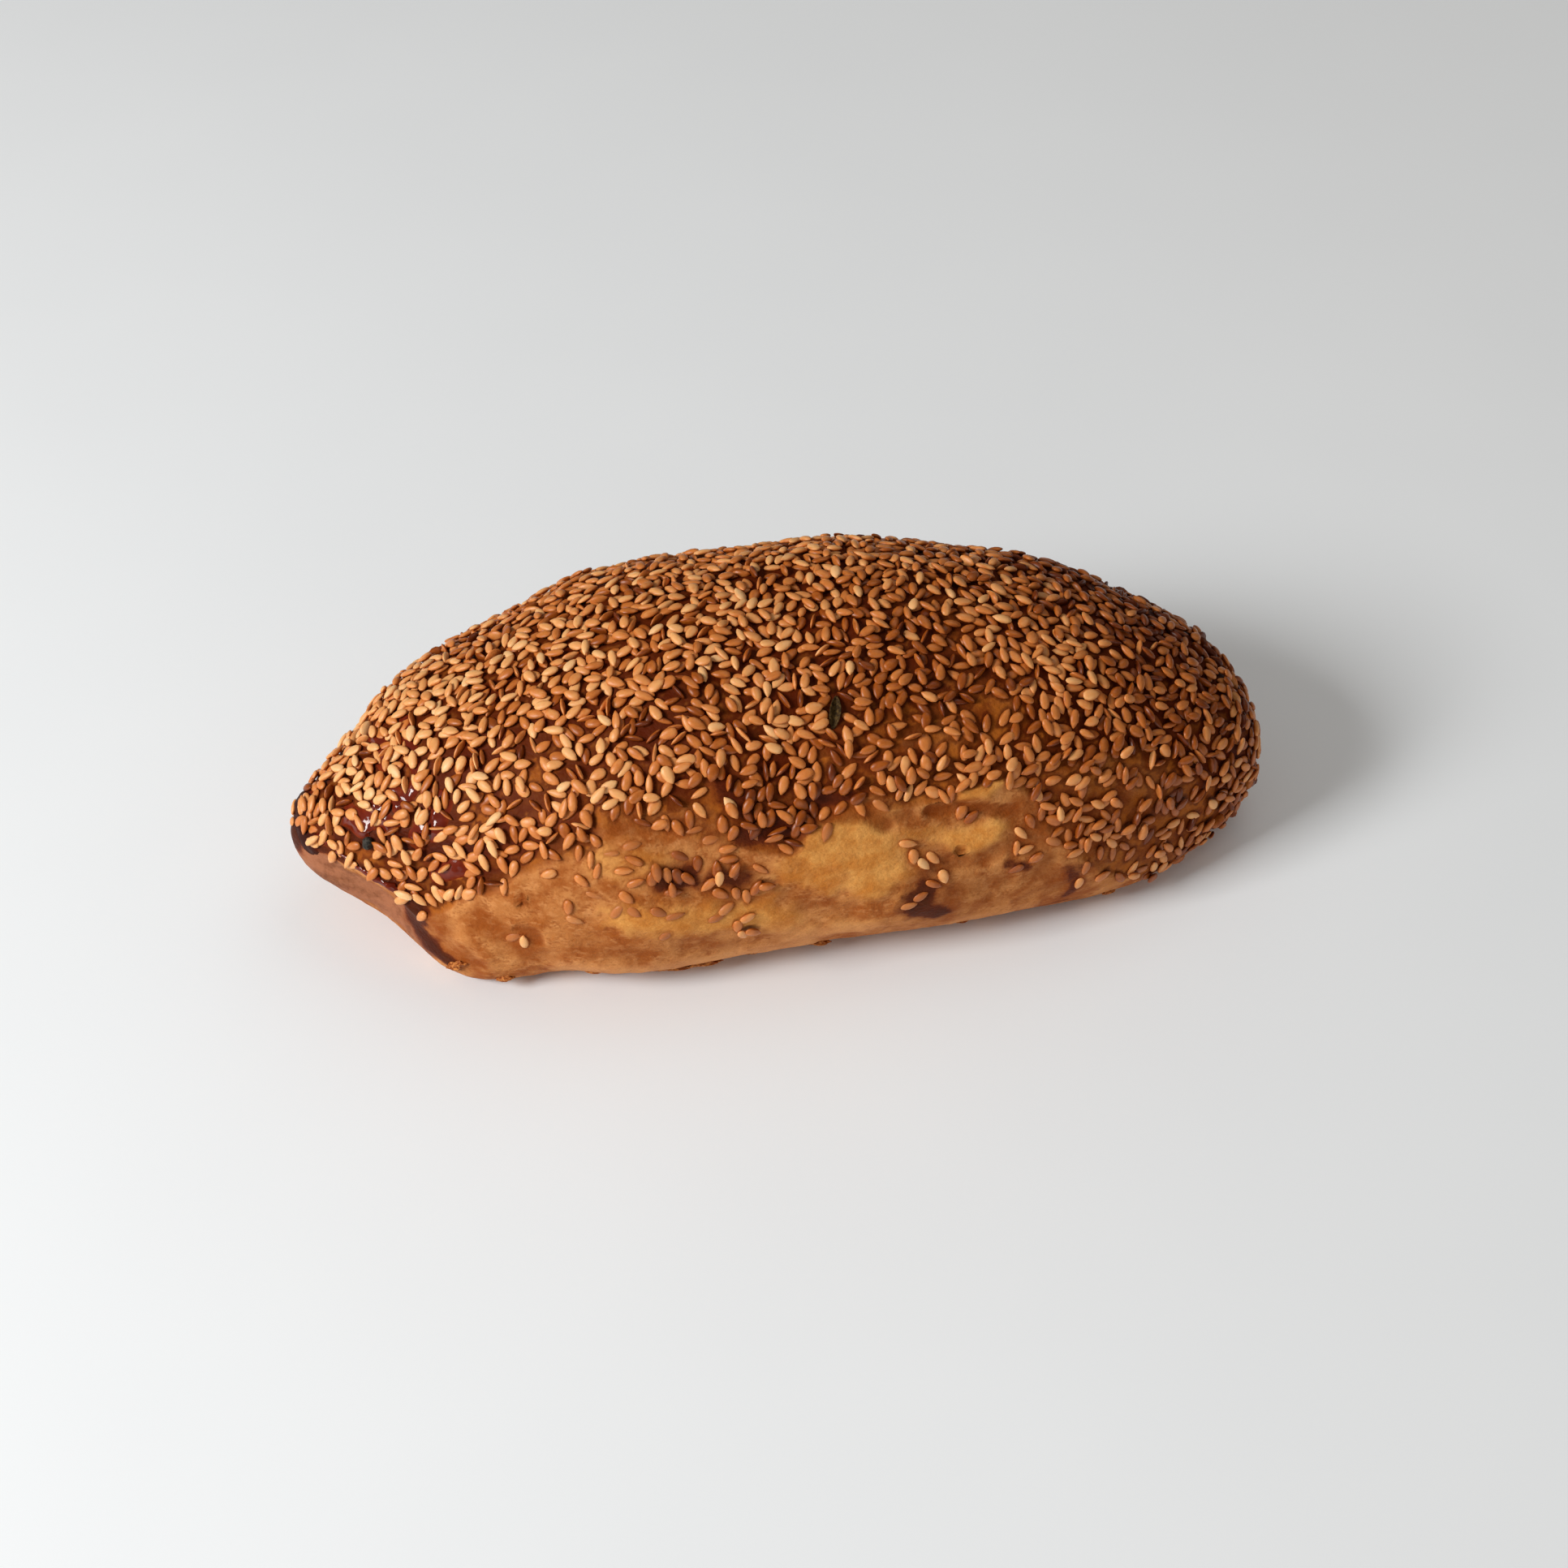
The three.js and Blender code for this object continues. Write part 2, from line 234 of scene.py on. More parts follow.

# Darker brown crust along rims, creases and dents, which also sink into the skin, and at the foot: its way
# and how brown it is.
BROWN_RUNS = [
    ([(-0.01, 0.68, 1.2), (0.04, 0.675, 1.5), (0.10, 0.655, 1.3), (0.14, 0.60, 1.0)], 1.0),
    ([(0.14, 0.62, 0.8), (0.19, 0.615, 0.8)], 0.7),
    ([(0.225, 0.61, 0.7), (0.281, 0.60, 0.6), (0.322, 0.585, 0.7),
      (0.363, 0.57, 0.7), (0.40, 0.55, 1.0)], 0.95),
    ([(0.24, 0.42, 1.0), (0.34, 0.41, 1.3), (0.37, 0.43, 1.2)], 0.6),
    ([(0.40, 0.43, 2.0), (0.45, 0.45, 2.4), (0.47, 0.52, 2.4)], 0.7),
    ([(0.28, 0.31, 1.4), (0.38, 0.30, 1.8)], 0.45),
    ([(0.46, 0.52, 5.0), (0.60, 0.42, 6.0), (0.74, 0.30, 5.0)], 0.7),
    ([(-0.02, 0.34, 1.8), (0.06, 0.30, 2.0)], 0.4),
    ([(0.46, 0.30, 2.6), (0.50, 0.22, 2.4)], 0.6),
    ([(-0.735, 0.30, 2.8), (-0.72, 0.20, 3.0), (-0.68, 0.13, 2.6)], 0.6),
    ([(-0.64, 0.34, 2.0), (-0.60, 0.25, 2.6), (-0.54, 0.20, 2.4)], 0.5),
    ([(-0.578, 0.305, 0.8), (-0.556, 0.30, 1.2), (-0.546, 0.265, 1.0)], 1.0),
    ([(-0.44, 0.26, 2.4), (-0.36, 0.22, 2.4)], 0.45),
    ([(-0.26, 0.24, 2.0), (-0.17, 0.20, 2.0)], 0.4),
    ([(-0.567, 0.455, 0.35), (-0.569, 0.42, 0.35)], 1.0),
]

RUNS = {"wash": WASH_RUNS, "pale": PALE_RUNS, "rosy": NOSE_SHADE_RUNS, "brown": BROWN_RUNS}
RUN_RAGGED = 0.45  # how unevenly wide a run is
RUN_FADE = (1.6, 0.3)  # in half widths: where a run has ended, and where it covers fully

# Pores: station, level and radius.
PORES = [(0.285, 0.452, 0.55), (0.462, 0.500, 0.6), (-0.569, 0.415, 0.35), (0.350, 0.235, 0.4)]
PORE_DEPTH = 0.7 * MM

# How far the skin stands out where it is washed, swollen pale or darker brown, and how it ripples: name,
# size of the lumps and height.
RISES = {"wash": 0.12 * MM, "pale": 0.60 * MM, "brown": -0.50 * MM}
RIPPLES = [("swells", 7 * MM, 0.5 * MM), ("wrinkles", 1.6 * MM, 0.16 * MM)]

# Soft noise: the size of its lumps, and where along it each use begins, so that no two agree.
DRIFTS = {
    "coat edge": (4 * MM, 0.0),
    "run edge": (2.2 * MM, 5.0),
    "film edge": (1.8 * MM, 11.0),
    "film lumps": (1.1 * MM, 17.0),
    "toast_light_and_shade": (9 * MM, 23.0),
}

# The film of hard egg wash.
FILM_THICKNESS = 0.46 * MM
FILM_EDGE = 0.10 * MM  # how far the film's rim dives under the skin
FILM_LUMPS = 0.34 * MM

# How dark the sesame is painted, from 0 to 1: everywhere, more towards the heel (partly toasting, partly
# painted shade of the side that faces away from the key light), more where it lies deep in the dough, in
# drifts, and its spread from seed to seed.
TOAST_AND_SHADE = {"all": 0.475, "heel": 0.18, "deep": 0.32, "drift": 0.10, "spread": 0.135}
TOAST_LIMITS = (0.08, 0.999)
HEEL_TOAST_AND_SHADE_FROM = -0.10  # the stations between which it deepens
HEEL_TOAST_AND_SHADE_TO = 0.85

# Where the sesame is painted darker or lighter than the rest, partly its toasting and partly painted light
# and shade: side, station, level, radius and how much.
TOAST_LIGHT_AND_SHADE_SPOTS = [
    ("front", -0.26, 0.53, 4.0, 0.40),
    ("front", -0.99, 0.40, 5.0, 0.20),
    ("front", -0.06, 0.66, 8.0, 0.24),
    ("front", 0.06, 0.71, 6.0, 0.12),
    ("front", -0.13, 0.75, 5.0, 0.15),
    ("front", -0.50, 0.80, 5.0, 0.08),
    ("front", 0.24, 0.97, 6.0, -0.08),
    ("front", -0.13, 0.99, 6.0, -0.05),
    ("front", 0.24, 0.86, 9.0, 0.20),
    ("front", -0.22, 0.91, 7.0, 0.16),
    ("front", 0.72, 0.62, 9.0, 0.06),
    ("front", 0.51, 0.84, 6.0, -0.10),
    # painted light: lighter seeds at the heel's low edge, where fill light falls
    ("front", 0.80, 0.14, 9.0, -0.12),
    ("front", -0.04, 0.93, 8.0, -0.12),
    ("back", 0.08, 0.97, 10.0, -0.12),
    ("front", -0.33, 0.86, 6.0, 0.06),
    ("front", 0.08, 0.78, 6.0, 0.12),
    ("front", 0.46, 0.93, 13.0, -0.18),
    ("front", 0.62, 0.40, 10.0, -0.04),
    ("front", -0.57, 0.26, 2.5, -0.20),
    ("front", -0.82, 0.66, 14.0, -0.16),
    ("front", 0.20, 0.98, 16.0, 0.15),
    ("back", 0.60, 0.70, 22.0, 0.16),
]

# Length, width and thickness of a sesame seed, and their spread as a share of each.
SEED_SIZE = (2.75 * MM, 1.44 * MM, 0.74 * MM)
SEED_SPREAD = (0.07, 0.12, 0.12)
SEED_SHAPES = {"plump": 0.45, "slim": 0.38, "curled": 0.17}  # the share of each
SEED_SUNK = 0.08 * MM
SEED_SUNK_ALONE = 0.24 * MM  # where the coat is thin the dough has crept up round each seed
SEED_DEEPER = 0.30 * MM  # how much more the deepest ones are sunk; they are also the most toasted
DEEP_LEAN = (1.0, 2.0)  # how deep the seeds of the coat sit, from 0 to 1: more of them shallow than deep
DEEP_USUAL = 0.30  # how deep one with a place of its own sits
DEEP_MIDDLE = 0.28  # the depth at which one is as toasted as its place says
SEED_BAKED_IN = 0.48 * MM
SEED_TURN = 7  # how far a single seed's turn may be off, in degrees
PLACED_LIMITS = (1.2 * MM, 1.0)  # how high and how steep a thing with a place of its own may lie
BASE_BIT_SUNK = 0.45  # how much of its height a bit at the foot is sunk
SEED_SHADE_REACH = 0.48 * MM  # how far round a seed the crust is painted darker: painted shade
SEEDS_ON_EDGE = 0.10  # the share that stand on their narrow side
EDGE_LIFT = 0.15 * MM  # those keep close to the skin
EDGE_SUNK = 0.45 * MM  # and are held deeper in it
LEAST_COAT = 0.08  # no seed lands where the coat is thinner than this
LEAST_GRIP = 0.15  # the share of seeds that stick where it is thinnest

# How the coat builds up: how many seeds are thrown on, how high and how steep one may come to lie, and how
# much they keep to the heaps.
THROWS = [
    (16000, 0.05 * MM, 0.14, 0.0),
    (8000, 0.34 * MM, 0.38, 0.4),
    (4000, 0.60 * MM, 0.50, 0.8),
]

rng = np.random.default_rng(7)

# ------------------------------------------------------------------ bench work


def work_on(obj):
    """Puts one object alone on the bench."""
    bpy.ops.object.select_all(action="DESELECT")
    obj.select_set(True)
    bpy.context.view_layer.objects.active = obj


@contextmanager
def in_edit_mode():
    """Opens the mesh on the bench to the operators that shape it, and closes it again."""
    bpy.ops.object.mode_set(mode="EDIT")
    yield
    bpy.ops.object.mode_set(mode="OBJECT")


def set_out(name, data):
    """Puts a new object in the scene."""
    obj = bpy.data.objects.new(name, data)
    bpy.context.scene.collection.objects.link(obj)
    return obj


def finish_with(obj, kind, **settings):
    """Adds a modifier and applies it."""
    work_on(obj)
    modifier = obj.modifiers.new(kind.title(), kind)
    for name, value in settings.items():
        setattr(modifier, name, value)
    bpy.ops.object.modifier_apply(modifier=modifier.name)


def roughen(obj, name, size, height, detail):
    """Pushes a skin out and in, by soft lumps of one size."""
    texture = bpy.data.textures.new(name, "CLOUDS")
    texture.noise_scale = size
    texture.noise_depth = detail
    finish_with(obj, "DISPLACE", texture=texture, texture_coords="LOCAL", strength=height, mid_level=0.5)
    bpy.data.textures.remove(texture)


def pick(obj, wanted):
    """Selects the corner points of a mesh that a test wants, and nothing else."""
    work_on(obj)
    with in_edit_mode():
        bpy.ops.mesh.select_mode(type="VERT")
        bpy.ops.mesh.select_all(action="DESELECT")
    for vertex in obj.data.vertices:
        vertex.select = bool(wanted(vertex))


def corners_of(mesh):
    """The corner points of a mesh, one in each row."""
    points = np.empty(len(mesh.vertices) * 3)
    mesh.vertices.foreach_get("co", points)
    return points.reshape(-1, 3)


def normals_of(mesh):
    """Which way the skin faces at each corner point."""
    normals = np.empty(len(mesh.vertices) * 3)
    mesh.vertex_normals.foreach_get("vector", normals)
    return normals.reshape(-1, 3)


def paint(mesh, name, values):
    """Stores one number for each corner point of a mesh, which a material reads back by its name."""
    layer = mesh.attributes.new(name, "FLOAT", "POINT")
    layer.data.foreach_set("value", np.ascontiguousarray(values, np.float32))


def smooth_step(value, low, high):
    """0 at low and 1 at high, smoothly, whichever of the two is more."""
    t = np.clip((value - low) / (high - low), 0, 1)
    return t * t * (3 - 2 * t)


def wander(points, name):
    """Soft noise from about -1 to 1 at each point."""
    size, start = DRIFTS[name]
    return np.array([noise.noise(Vector(p) / size + Vector((start, 0, 0))) for p in points])


# ------------------------------------------------------------------ the crust


def rolled_dough():
    """The bun's form as one even skin, its facets smoothed away."""
    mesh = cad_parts["bun"].data.copy()
    mesh.materials.clear()
    crust = set_out("crust", mesh)
    work_on(crust)
    with in_edit_mode():
        bpy.ops.mesh.select_all(action="SELECT")
        bpy.ops.mesh.remove_doubles(threshold=0.001 * MM)
    finish_with(crust, "REMESH", mode="VOXEL", voxel_size=SKIN_GRAIN)
    finish_with(crust, "SMOOTH", factor=0.5, iterations=SKIN_STROKES)
    return crust


def side_finder(crust):
    """Gives a function that finds the point of the skin at a place ("front" or "back", station, level)."""
    tree = BVHTree.FromObject(crust, bpy.context.evaluated_depsgraph_get())

    def find(place):
        """The point where a line straight in from the side meets the skin."""
        side, station, level = place
        way = 1 if side == "front" else -1
        start = Vector((station * HALF_LENGTH, -way * 2 * HALF_WIDTH, level * HEIGHT))
        point = tree.ray_cast(start, Vector((0, way, 0)))[0]
        if point is None:
            point = tree.find_nearest(Vector((start.x, 0, start.z)))[0]
        return np.array(point)

    return find


def near(points, centre, radius):
    """1 at a centre, falling to about a third at the radius."""
    return np.exp(-((points - centre) ** 2).sum(1) / radius**2)


def near_spots(points, spots, find):
    """How near each point is to each spot in turn, from 0 to 1, with what else is said of that spot."""
    for side, station, level, radius, *rest in spots:
        yield near(points, find((side, station, level)), radius * MM), *rest


def along_run(points, way, weight, find, ragged):
    """How much of a run over the front covers each point."""
    marks = [find(("front", station, level)) for station, level, _ in way]
    widths = [width for *_, width in way]
    cover = np.zeros(len(points))
    for a, b, wide_a, wide_b in zip(marks, marks[1:], widths, widths[1:]):
        step = b - a
        t = np.clip((points - a) @ step / (step @ step), 0, 1)
        off = np.linalg.norm(points - (a + t[:, None] * step), axis=1)
        wide = (wide_a + (wide_b - wide_a) * t) * MM * (1 + RUN_RAGGED * ragged)
        outer, inner = (share * wide for share in RUN_FADE)
        cover = np.maximum(cover, weight * smooth_step(off, outer, inner))
    return cover


def coat_share(points, normals, find):
    """How thick the sesame lies at each point, 0 for bare crust and 1 for a full coat."""
    station = points[:, 0] / HALF_LENGTH
    at_front = smooth_step(-points[:, 1], -FRONT_TO_BACK, FRONT_TO_BACK)
    stations_front, *front = zip(*COAT_EDGE_FRONT)
    stations_back, *back = zip(*COAT_EDGE_BACK)
    last, full, thin = (
        np.interp(station, stations_back, behind) * (1 - at_front)
        + np.interp(station, stations_front, ahead) * at_front
        for ahead, behind in zip(front, back)
    )
    height = points[:, 2] - COAT_EDGE_WANDER * wander(points, "coat edge")
    share = thin * smooth_step(height - last * HEIGHT, -COAT_LAST_FADE, COAT_LAST_FADE)
    share += (1 - thin) * smooth_step(height - full * HEIGHT, -COAT_FULL_FADE, COAT_FULL_FADE)
    share *= smooth_step(normals[:, 2], *UNDERSIDE)
    for nearness, missing in near_spots(points, THIN_PATCHES, find):
        share *= 1 - missing * nearness
    return share


def skin_marks(crust, find):
    """What lies on the skin at each point, by name, each from 0 to 1."""
    points = corners_of(crust.data)
    normals = normals_of(crust.data)
    ragged = wander(points, "run edge")
    marks = {"coat": coat_share(points, normals, find)}
    for name, runs in RUNS.items():
        marks[name] = np.max([along_run(points, *run, find, ragged) for run in runs], axis=0)
    islands = near_spots(points, ISLANDS, find)
    marks["island"] = np.max([share * nearness**2 for nearness, share in islands], axis=0)
    # painted shade: each pore is also painted into the brown mark, dark like a crease
    for station, level, radius in PORES:
        pit = near(points, find(("front", station, level)), radius * MM)
        marks["brown"] = np.maximum(marks["brown"], pit)
    return marks


def raise_and_sink(crust, rise):
    """Moves the skin out by a height for each of its points."""
    low, high = rise.min(), rise.max()
    group = crust.vertex_groups.new(name="rise")
    for i, share in enumerate((rise - low) / (high - low)):
        group.add([i], share, "REPLACE")
    finish_with(crust, "DISPLACE", vertex_group="rise", strength=high - low, mid_level=0)
    finish_with(crust, "DISPLACE", strength=low, mid_level=0)
    crust.vertex_groups.clear()


def press_on_tray(crust):
    """Flattens whatever reaches below the tray."""
    points = corners_of(crust.data)
    points[:, 2] = np.maximum(points[:, 2], 0)
    crust.data.vertices.foreach_set("co", points.ravel())
    crust.data.update()


def skin_rise(points, marks, find):
    """How far each point stands out: sunk under the coat, swollen where pale, pitted at the pores."""
    rise = -COAT_DEPTH * smooth_step(marks["coat"], 0.0, 0.9)
    for name, height in RISES.items():
        rise += height * marks[name]
    for station, level, radius in PORES:
        rise -= PORE_DEPTH * near(points, find(("front", station, level)), radius * MM) ** 2
    return rise


def make_crust():
    """The whole skin of the bun, with all that lies on it painted in."""
    crust = rolled_dough()
    find = side_finder(crust)
    marks = skin_marks(crust, find)
    raise_and_sink(crust, skin_rise(corners_of(crust.data), marks, find))
    for name, size, height in RIPPLES:
        roughen(crust, name, size, height, detail=1)
    press_on_tray(crust)
    for name in ("coat", *RUNS):
        paint(crust.data, name, marks[name])
    crust.data.shade_smooth()
    return crust, marks


def film_depth(points, find):
    """How thick the egg wash stands at each point, from 0 to 1, and how much it shines there."""
    ragged = wander(points, "film edge")
    covers = np.array([along_run(points, way, thick, find, ragged) for way, thick, _ in FILM_RUNS])
    shines = np.array([shine for *_, shine in FILM_RUNS])
    shine = (covers * shines[:, None]).sum(0) / np.maximum(covers.sum(0), 1e-6)
    return covers.max(0), shine


def pour_egg_wash(crust, find):
    """The egg wash that pooled and set: a thin closed film on the crust, which dives into it at its rim."""
    film = set_out("egg_wash", crust.data.copy())
    depth, _ = film_depth(corners_of(film.data), find)
    pick(film, lambda corner: depth[corner.index] <= 0.0)
    with in_edit_mode():
        bpy.ops.mesh.delete(type="VERT")
    finish_with(film, "SUBSURF", levels=1, render_levels=1)
    points = corners_of(film.data)
    depth, _ = film_depth(points, find)
    lumps = FILM_LUMPS * wander(points, "film lumps")
    raise_and_sink(film, (FILM_THICKNESS + lumps) * depth - FILM_EDGE * (1 - depth))
    finish_with(film, "SMOOTH", factor=0.5, iterations=3)
    finish_with(film, "SOLIDIFY", thickness=FILM_THICKNESS, offset=-1)
    depth, shine = film_depth(corners_of(film.data), find)
    paint(film.data, "depth", depth)
    paint(film.data, "shine", shine)
    film.data.shade_smooth()
    film.data.materials.clear()
    return film


# ------------------------------------------------------------------ seeds

SEED_SIDES = 10
SEED_RINGS = 6
SAME = 1e-3  # points of a unit form no farther apart than this lie in one ring or row


def seed_form(point, belly, bend):
    """A sesame seed of unit length, width and thickness, its pointed end at +X: how wide it still is at its
    point and past its belly, and how far its point curls up."""
    bpy.ops.object.select_all(action="DESELECT")
    bpy.ops.mesh.primitive_uv_sphere_add(segments=SEED_SIDES, ring_count=SEED_RINGS, radius=0.5)
    seed = bpy.context.object
    seed.rotation_euler.y = math.pi / 2
    bpy.ops.object.transform_apply(rotation=True)
    rings = sorted({round(v.co.x, 4) for v in seed.data.vertices})
    widths = [1.0, 1.12, 1.08, 1.0, belly, point, 1.0]
    for ring, width in zip(rings, widths):
        pick(seed, lambda corner, ring=ring: abs(corner.co.x - ring) < SAME)
        with in_edit_mode():
            bpy.ops.transform.resize(value=(1, width, 0.5 + 0.5 * width), center_override=(ring, 0, 0))
            bpy.ops.transform.translate(value=(0, 0, bend * max(0.0, ring) ** 2))
    return form_of(seed)


def crumb_form(name, roughness):
    """A torn bit of baked dough of about unit size."""
    bpy.ops.object.select_all(action="DESELECT")
    bpy.ops.mesh.primitive_ico_sphere_add(subdivisions=4, radius=0.5)
    crumb = bpy.context.object
    roughen(crumb, name, size=0.45, height=roughness, detail=2)
    return form_of(crumb)


NIGELLA_FLATS = (0.4, 2.5, 4.6)  # which way its flat sides face, round its length
NIGELLA_FLAT_AT = 0.38
NIGELLA_TAPER = 0.12


def nigella_form():
    """A nigella seed of unit size: a blunt drop with three flat sides."""
    bpy.ops.object.select_all(action="DESELECT")
    bpy.ops.mesh.primitive_ico_sphere_add(subdivisions=3, radius=0.5)
    seed = bpy.context.object
    work_on(seed)
    with in_edit_mode():
        for angle in NIGELLA_FLATS:
            flat = (NIGELLA_TAPER, math.cos(angle), math.sin(angle))
            bpy.ops.mesh.select_all(action="SELECT")
            place = tuple(NIGELLA_FLAT_AT * part for part in flat)
            bpy.ops.mesh.bisect(plane_co=place, plane_no=flat, use_fill=True, clear_outer=True)
        bpy.ops.mesh.select_all(action="SELECT")
        bpy.ops.mesh.normals_make_consistent(inside=False)
    finish_with(seed, "BEVEL", width=0.06, segments=2, limit_method="ANGLE")
    return form_of(seed)


LEAF_COLUMNS = 12
LEAF_ROWS = 6
LEAF_TIP = 0.12  # how wide it still is at its ends
LEAF_CURL = 3.2
LEAF_SAG = 0.35


def leaf_form():
    """A flake of dried herb of unit size: a pointed leaf, its sides curled up round its rib."""
    bpy.ops.object.select_all(action="DESELECT")
    bpy.ops.mesh.primitive_grid_add(x_subdivisions=LEAF_COLUMNS, y_subdivisions=LEAF_ROWS, size=1)
    leaf = bpy.context.object
    for column in sorted({round(v.co.x, 4) for v in leaf.data.vertices}):
        width = LEAF_TIP
        if abs(column) < 0.5 - SAME:
            width += (1 - LEAF_TIP) * math.sin(math.pi * (0.5 + column)) ** 0.7
        pick(leaf, lambda corner, column=column: abs(corner.co.x - column) < SAME)
        with in_edit_mode():
            bpy.ops.transform.resize(value=(1, width, 1), center_override=(column, 0, 0))
    for row in sorted({round(abs(v.co.y), 4) for v in leaf.data.vertices}):
        pick(leaf, lambda corner, row=row: abs(abs(corner.co.y) - row) < SAME)
        with in_edit_mode():
            bpy.ops.transform.translate(value=(0, 0, LEAF_CURL * row**2 - LEAF_SAG))
    finish_with(leaf, "SOLIDIFY", thickness=0.16, offset=0)
    finish_with(leaf, "SUBSURF", levels=1, render_levels=1)
    return form_of(leaf)


def form_of(obj):
    """Takes a finished form off the bench as corner points and faces, in the same order on every run."""
    corners = corners_of(obj.data)
    order = np.lexsort(corners.round(6).T)
    renumbered = np.argsort(order)
    faces = [tuple(int(renumbered[i]) for i in face.vertices) for face in obj.data.polygons]
    bpy.data.objects.remove(obj)
    return corners[order], sorted(faces, key=sorted)


def heading(normal, turn):
    """Which way a thing lies along and across skin that faces this way, turned from the nose."""
    to_nose = np.array([-1.0, 0.0, 0.0]) if abs(normal[0]) < 0.95 else np.array([0.0, 0.0, 1.0])
    to_nose -= (to_nose @ normal) * normal
    to_nose /= np.linalg.norm(to_nose)
    down = np.cross(normal, to_nose)
    along = to_nose * math.cos(turn) + down * math.sin(turn)
    side = down * math.cos(turn) - to_nose * math.sin(turn)
    return along, side


class Bed:
    """The seeds laid so far. A new one rests on the crust and those under it, and leans as they make it."""

    CELL = 3.4 * MM  # the bed is kept in cubes of this size, and only the next ones are searched
    MOST = 20000
    TALLEST = 2.5 * MM  # what stands higher than this above a spot isn't under it
    YIELD = 0.05 * MM  # how far seeds press into each other
    CLEAR = 0.25 * MM  # a seed that lies this high no longer touches the dough

    # Where a seed feels for what is under it, in shares of its half length and half width, and how much
    # higher its round underside is there than in the middle.
    RING = [(math.cos(a), math.sin(a)) for a in np.linspace(0, 2 * math.pi, 16, endpoint=False)]
    INNER = [(0.5 * c, 0.5 * s) for c, s in RING[::2]]
    OUTER = [(0.95 * c, 0.95 * s) for c, s in RING]
    PROBES = np.array([(0.0, 0.0), *INNER, *OUTER])
    HOLLOW = 1 - np.sqrt(1 - (PROBES**2).sum(1))

    def __init__(self, crust):
        self.tree = BVHTree.FromObject(crust, bpy.context.evaluated_depsgraph_get())
        self.cells = {}
        self.seeds = []
        self.centres = np.zeros((self.MOST, 3))
        self.axes = np.zeros((self.MOST, 3, 3))
        self.halves = np.zeros((self.MOST, 3))

    def cell(self, point):
        """The cube that a point is in."""
        return tuple(int(math.floor(c / self.CELL)) for c in point)

    def laid_near(self, point):
        """The numbers of the seeds in the cubes round a point."""
        cx, cy, cz = self.cell(point)
        found = []
        for i in (cx - 1, cx, cx + 1):
            for j in (cy - 1, cy, cy + 1):
                for k in (cz - 1, cz, cz + 1):
                    found.extend(self.cells.get((i, j, k), ()))
        return found

    def height_needed(self, point, along, side, half):
        """How high each probe of a flat seed must go to clear the seeds under it."""
        probes = self.PROBES * half[:2]
        places = point + probes[:, :1] * along + probes[:, 1:] * side
        under = self.laid_near(point)
        if not under:
            return np.zeros(len(probes))
        local = np.einsum("pki,kji->pkj", places[:, None] - self.centres[under], self.axes[under])
        halves = self.halves[under]
        off = (local[..., 0] / halves[:, 0]) ** 2 + (local[..., 1] / halves[:, 1]) ** 2
        tops = halves[:, 2] * np.sqrt(np.maximum(0, 1 - off)) - local[..., 2]
        tops = np.where((off < 1) & (tops < self.TALLEST), tops, 0)
        return np.maximum(0, tops.max(1) - half[2] * self.HOLLOW)

    def lay(self, spot, normal, turn, size, sunk, limits, on_edge=False, deep=DEEP_USUAL, **facts):
        """Lays a seed at a spot of the crust, unless it would lie higher or steeper than its limits."""
        normal = normal / np.linalg.norm(normal)
        along, side = heading(normal, turn)
        half = size[[0, 2, 1]] / 2 if on_edge else size / 2
        needed = self.height_needed(spot, along, side, half)
        probes = self.PROBES * half[:2]
        lift = needed.mean()
        slope = (needed[:, None] * probes).sum(0) / (probes**2).sum(0)
        lift += max(0, (needed - lift - probes @ slope).max() - self.YIELD)
        most_lift, steepest = limits
        if lift > most_lift or np.linalg.norm(slope) > steepest:
            return
        up = normal - slope[0] * along - slope[1] * side
        up /= np.linalg.norm(up)
        along = along - (along @ up) * up
        along /= np.linalg.norm(along)
        side = np.cross(up, along)
        grip = max(0.0, 1 - lift / self.CLEAR)
        centre = spot + normal * (lift + half[2] - sunk * grip)
        number = len(self.seeds)
        self.centres[number] = centre
        self.axes[number] = along, side, up
        self.halves[number] = half
        self.cells.setdefault(self.cell(centre), []).append(number)
        axes = np.array([along, up, -side]) if on_edge else np.array([along, side, up])
        self.seeds.append({"centre": centre, "axes": axes, "size": size, "deep": deep * grip, **facts})


def seed_size():
    """Length, width and thickness of one more seed."""
    return np.array([size * rng.normal(1, spread) for size, spread in zip(SEED_SIZE, SEED_SPREAD)])


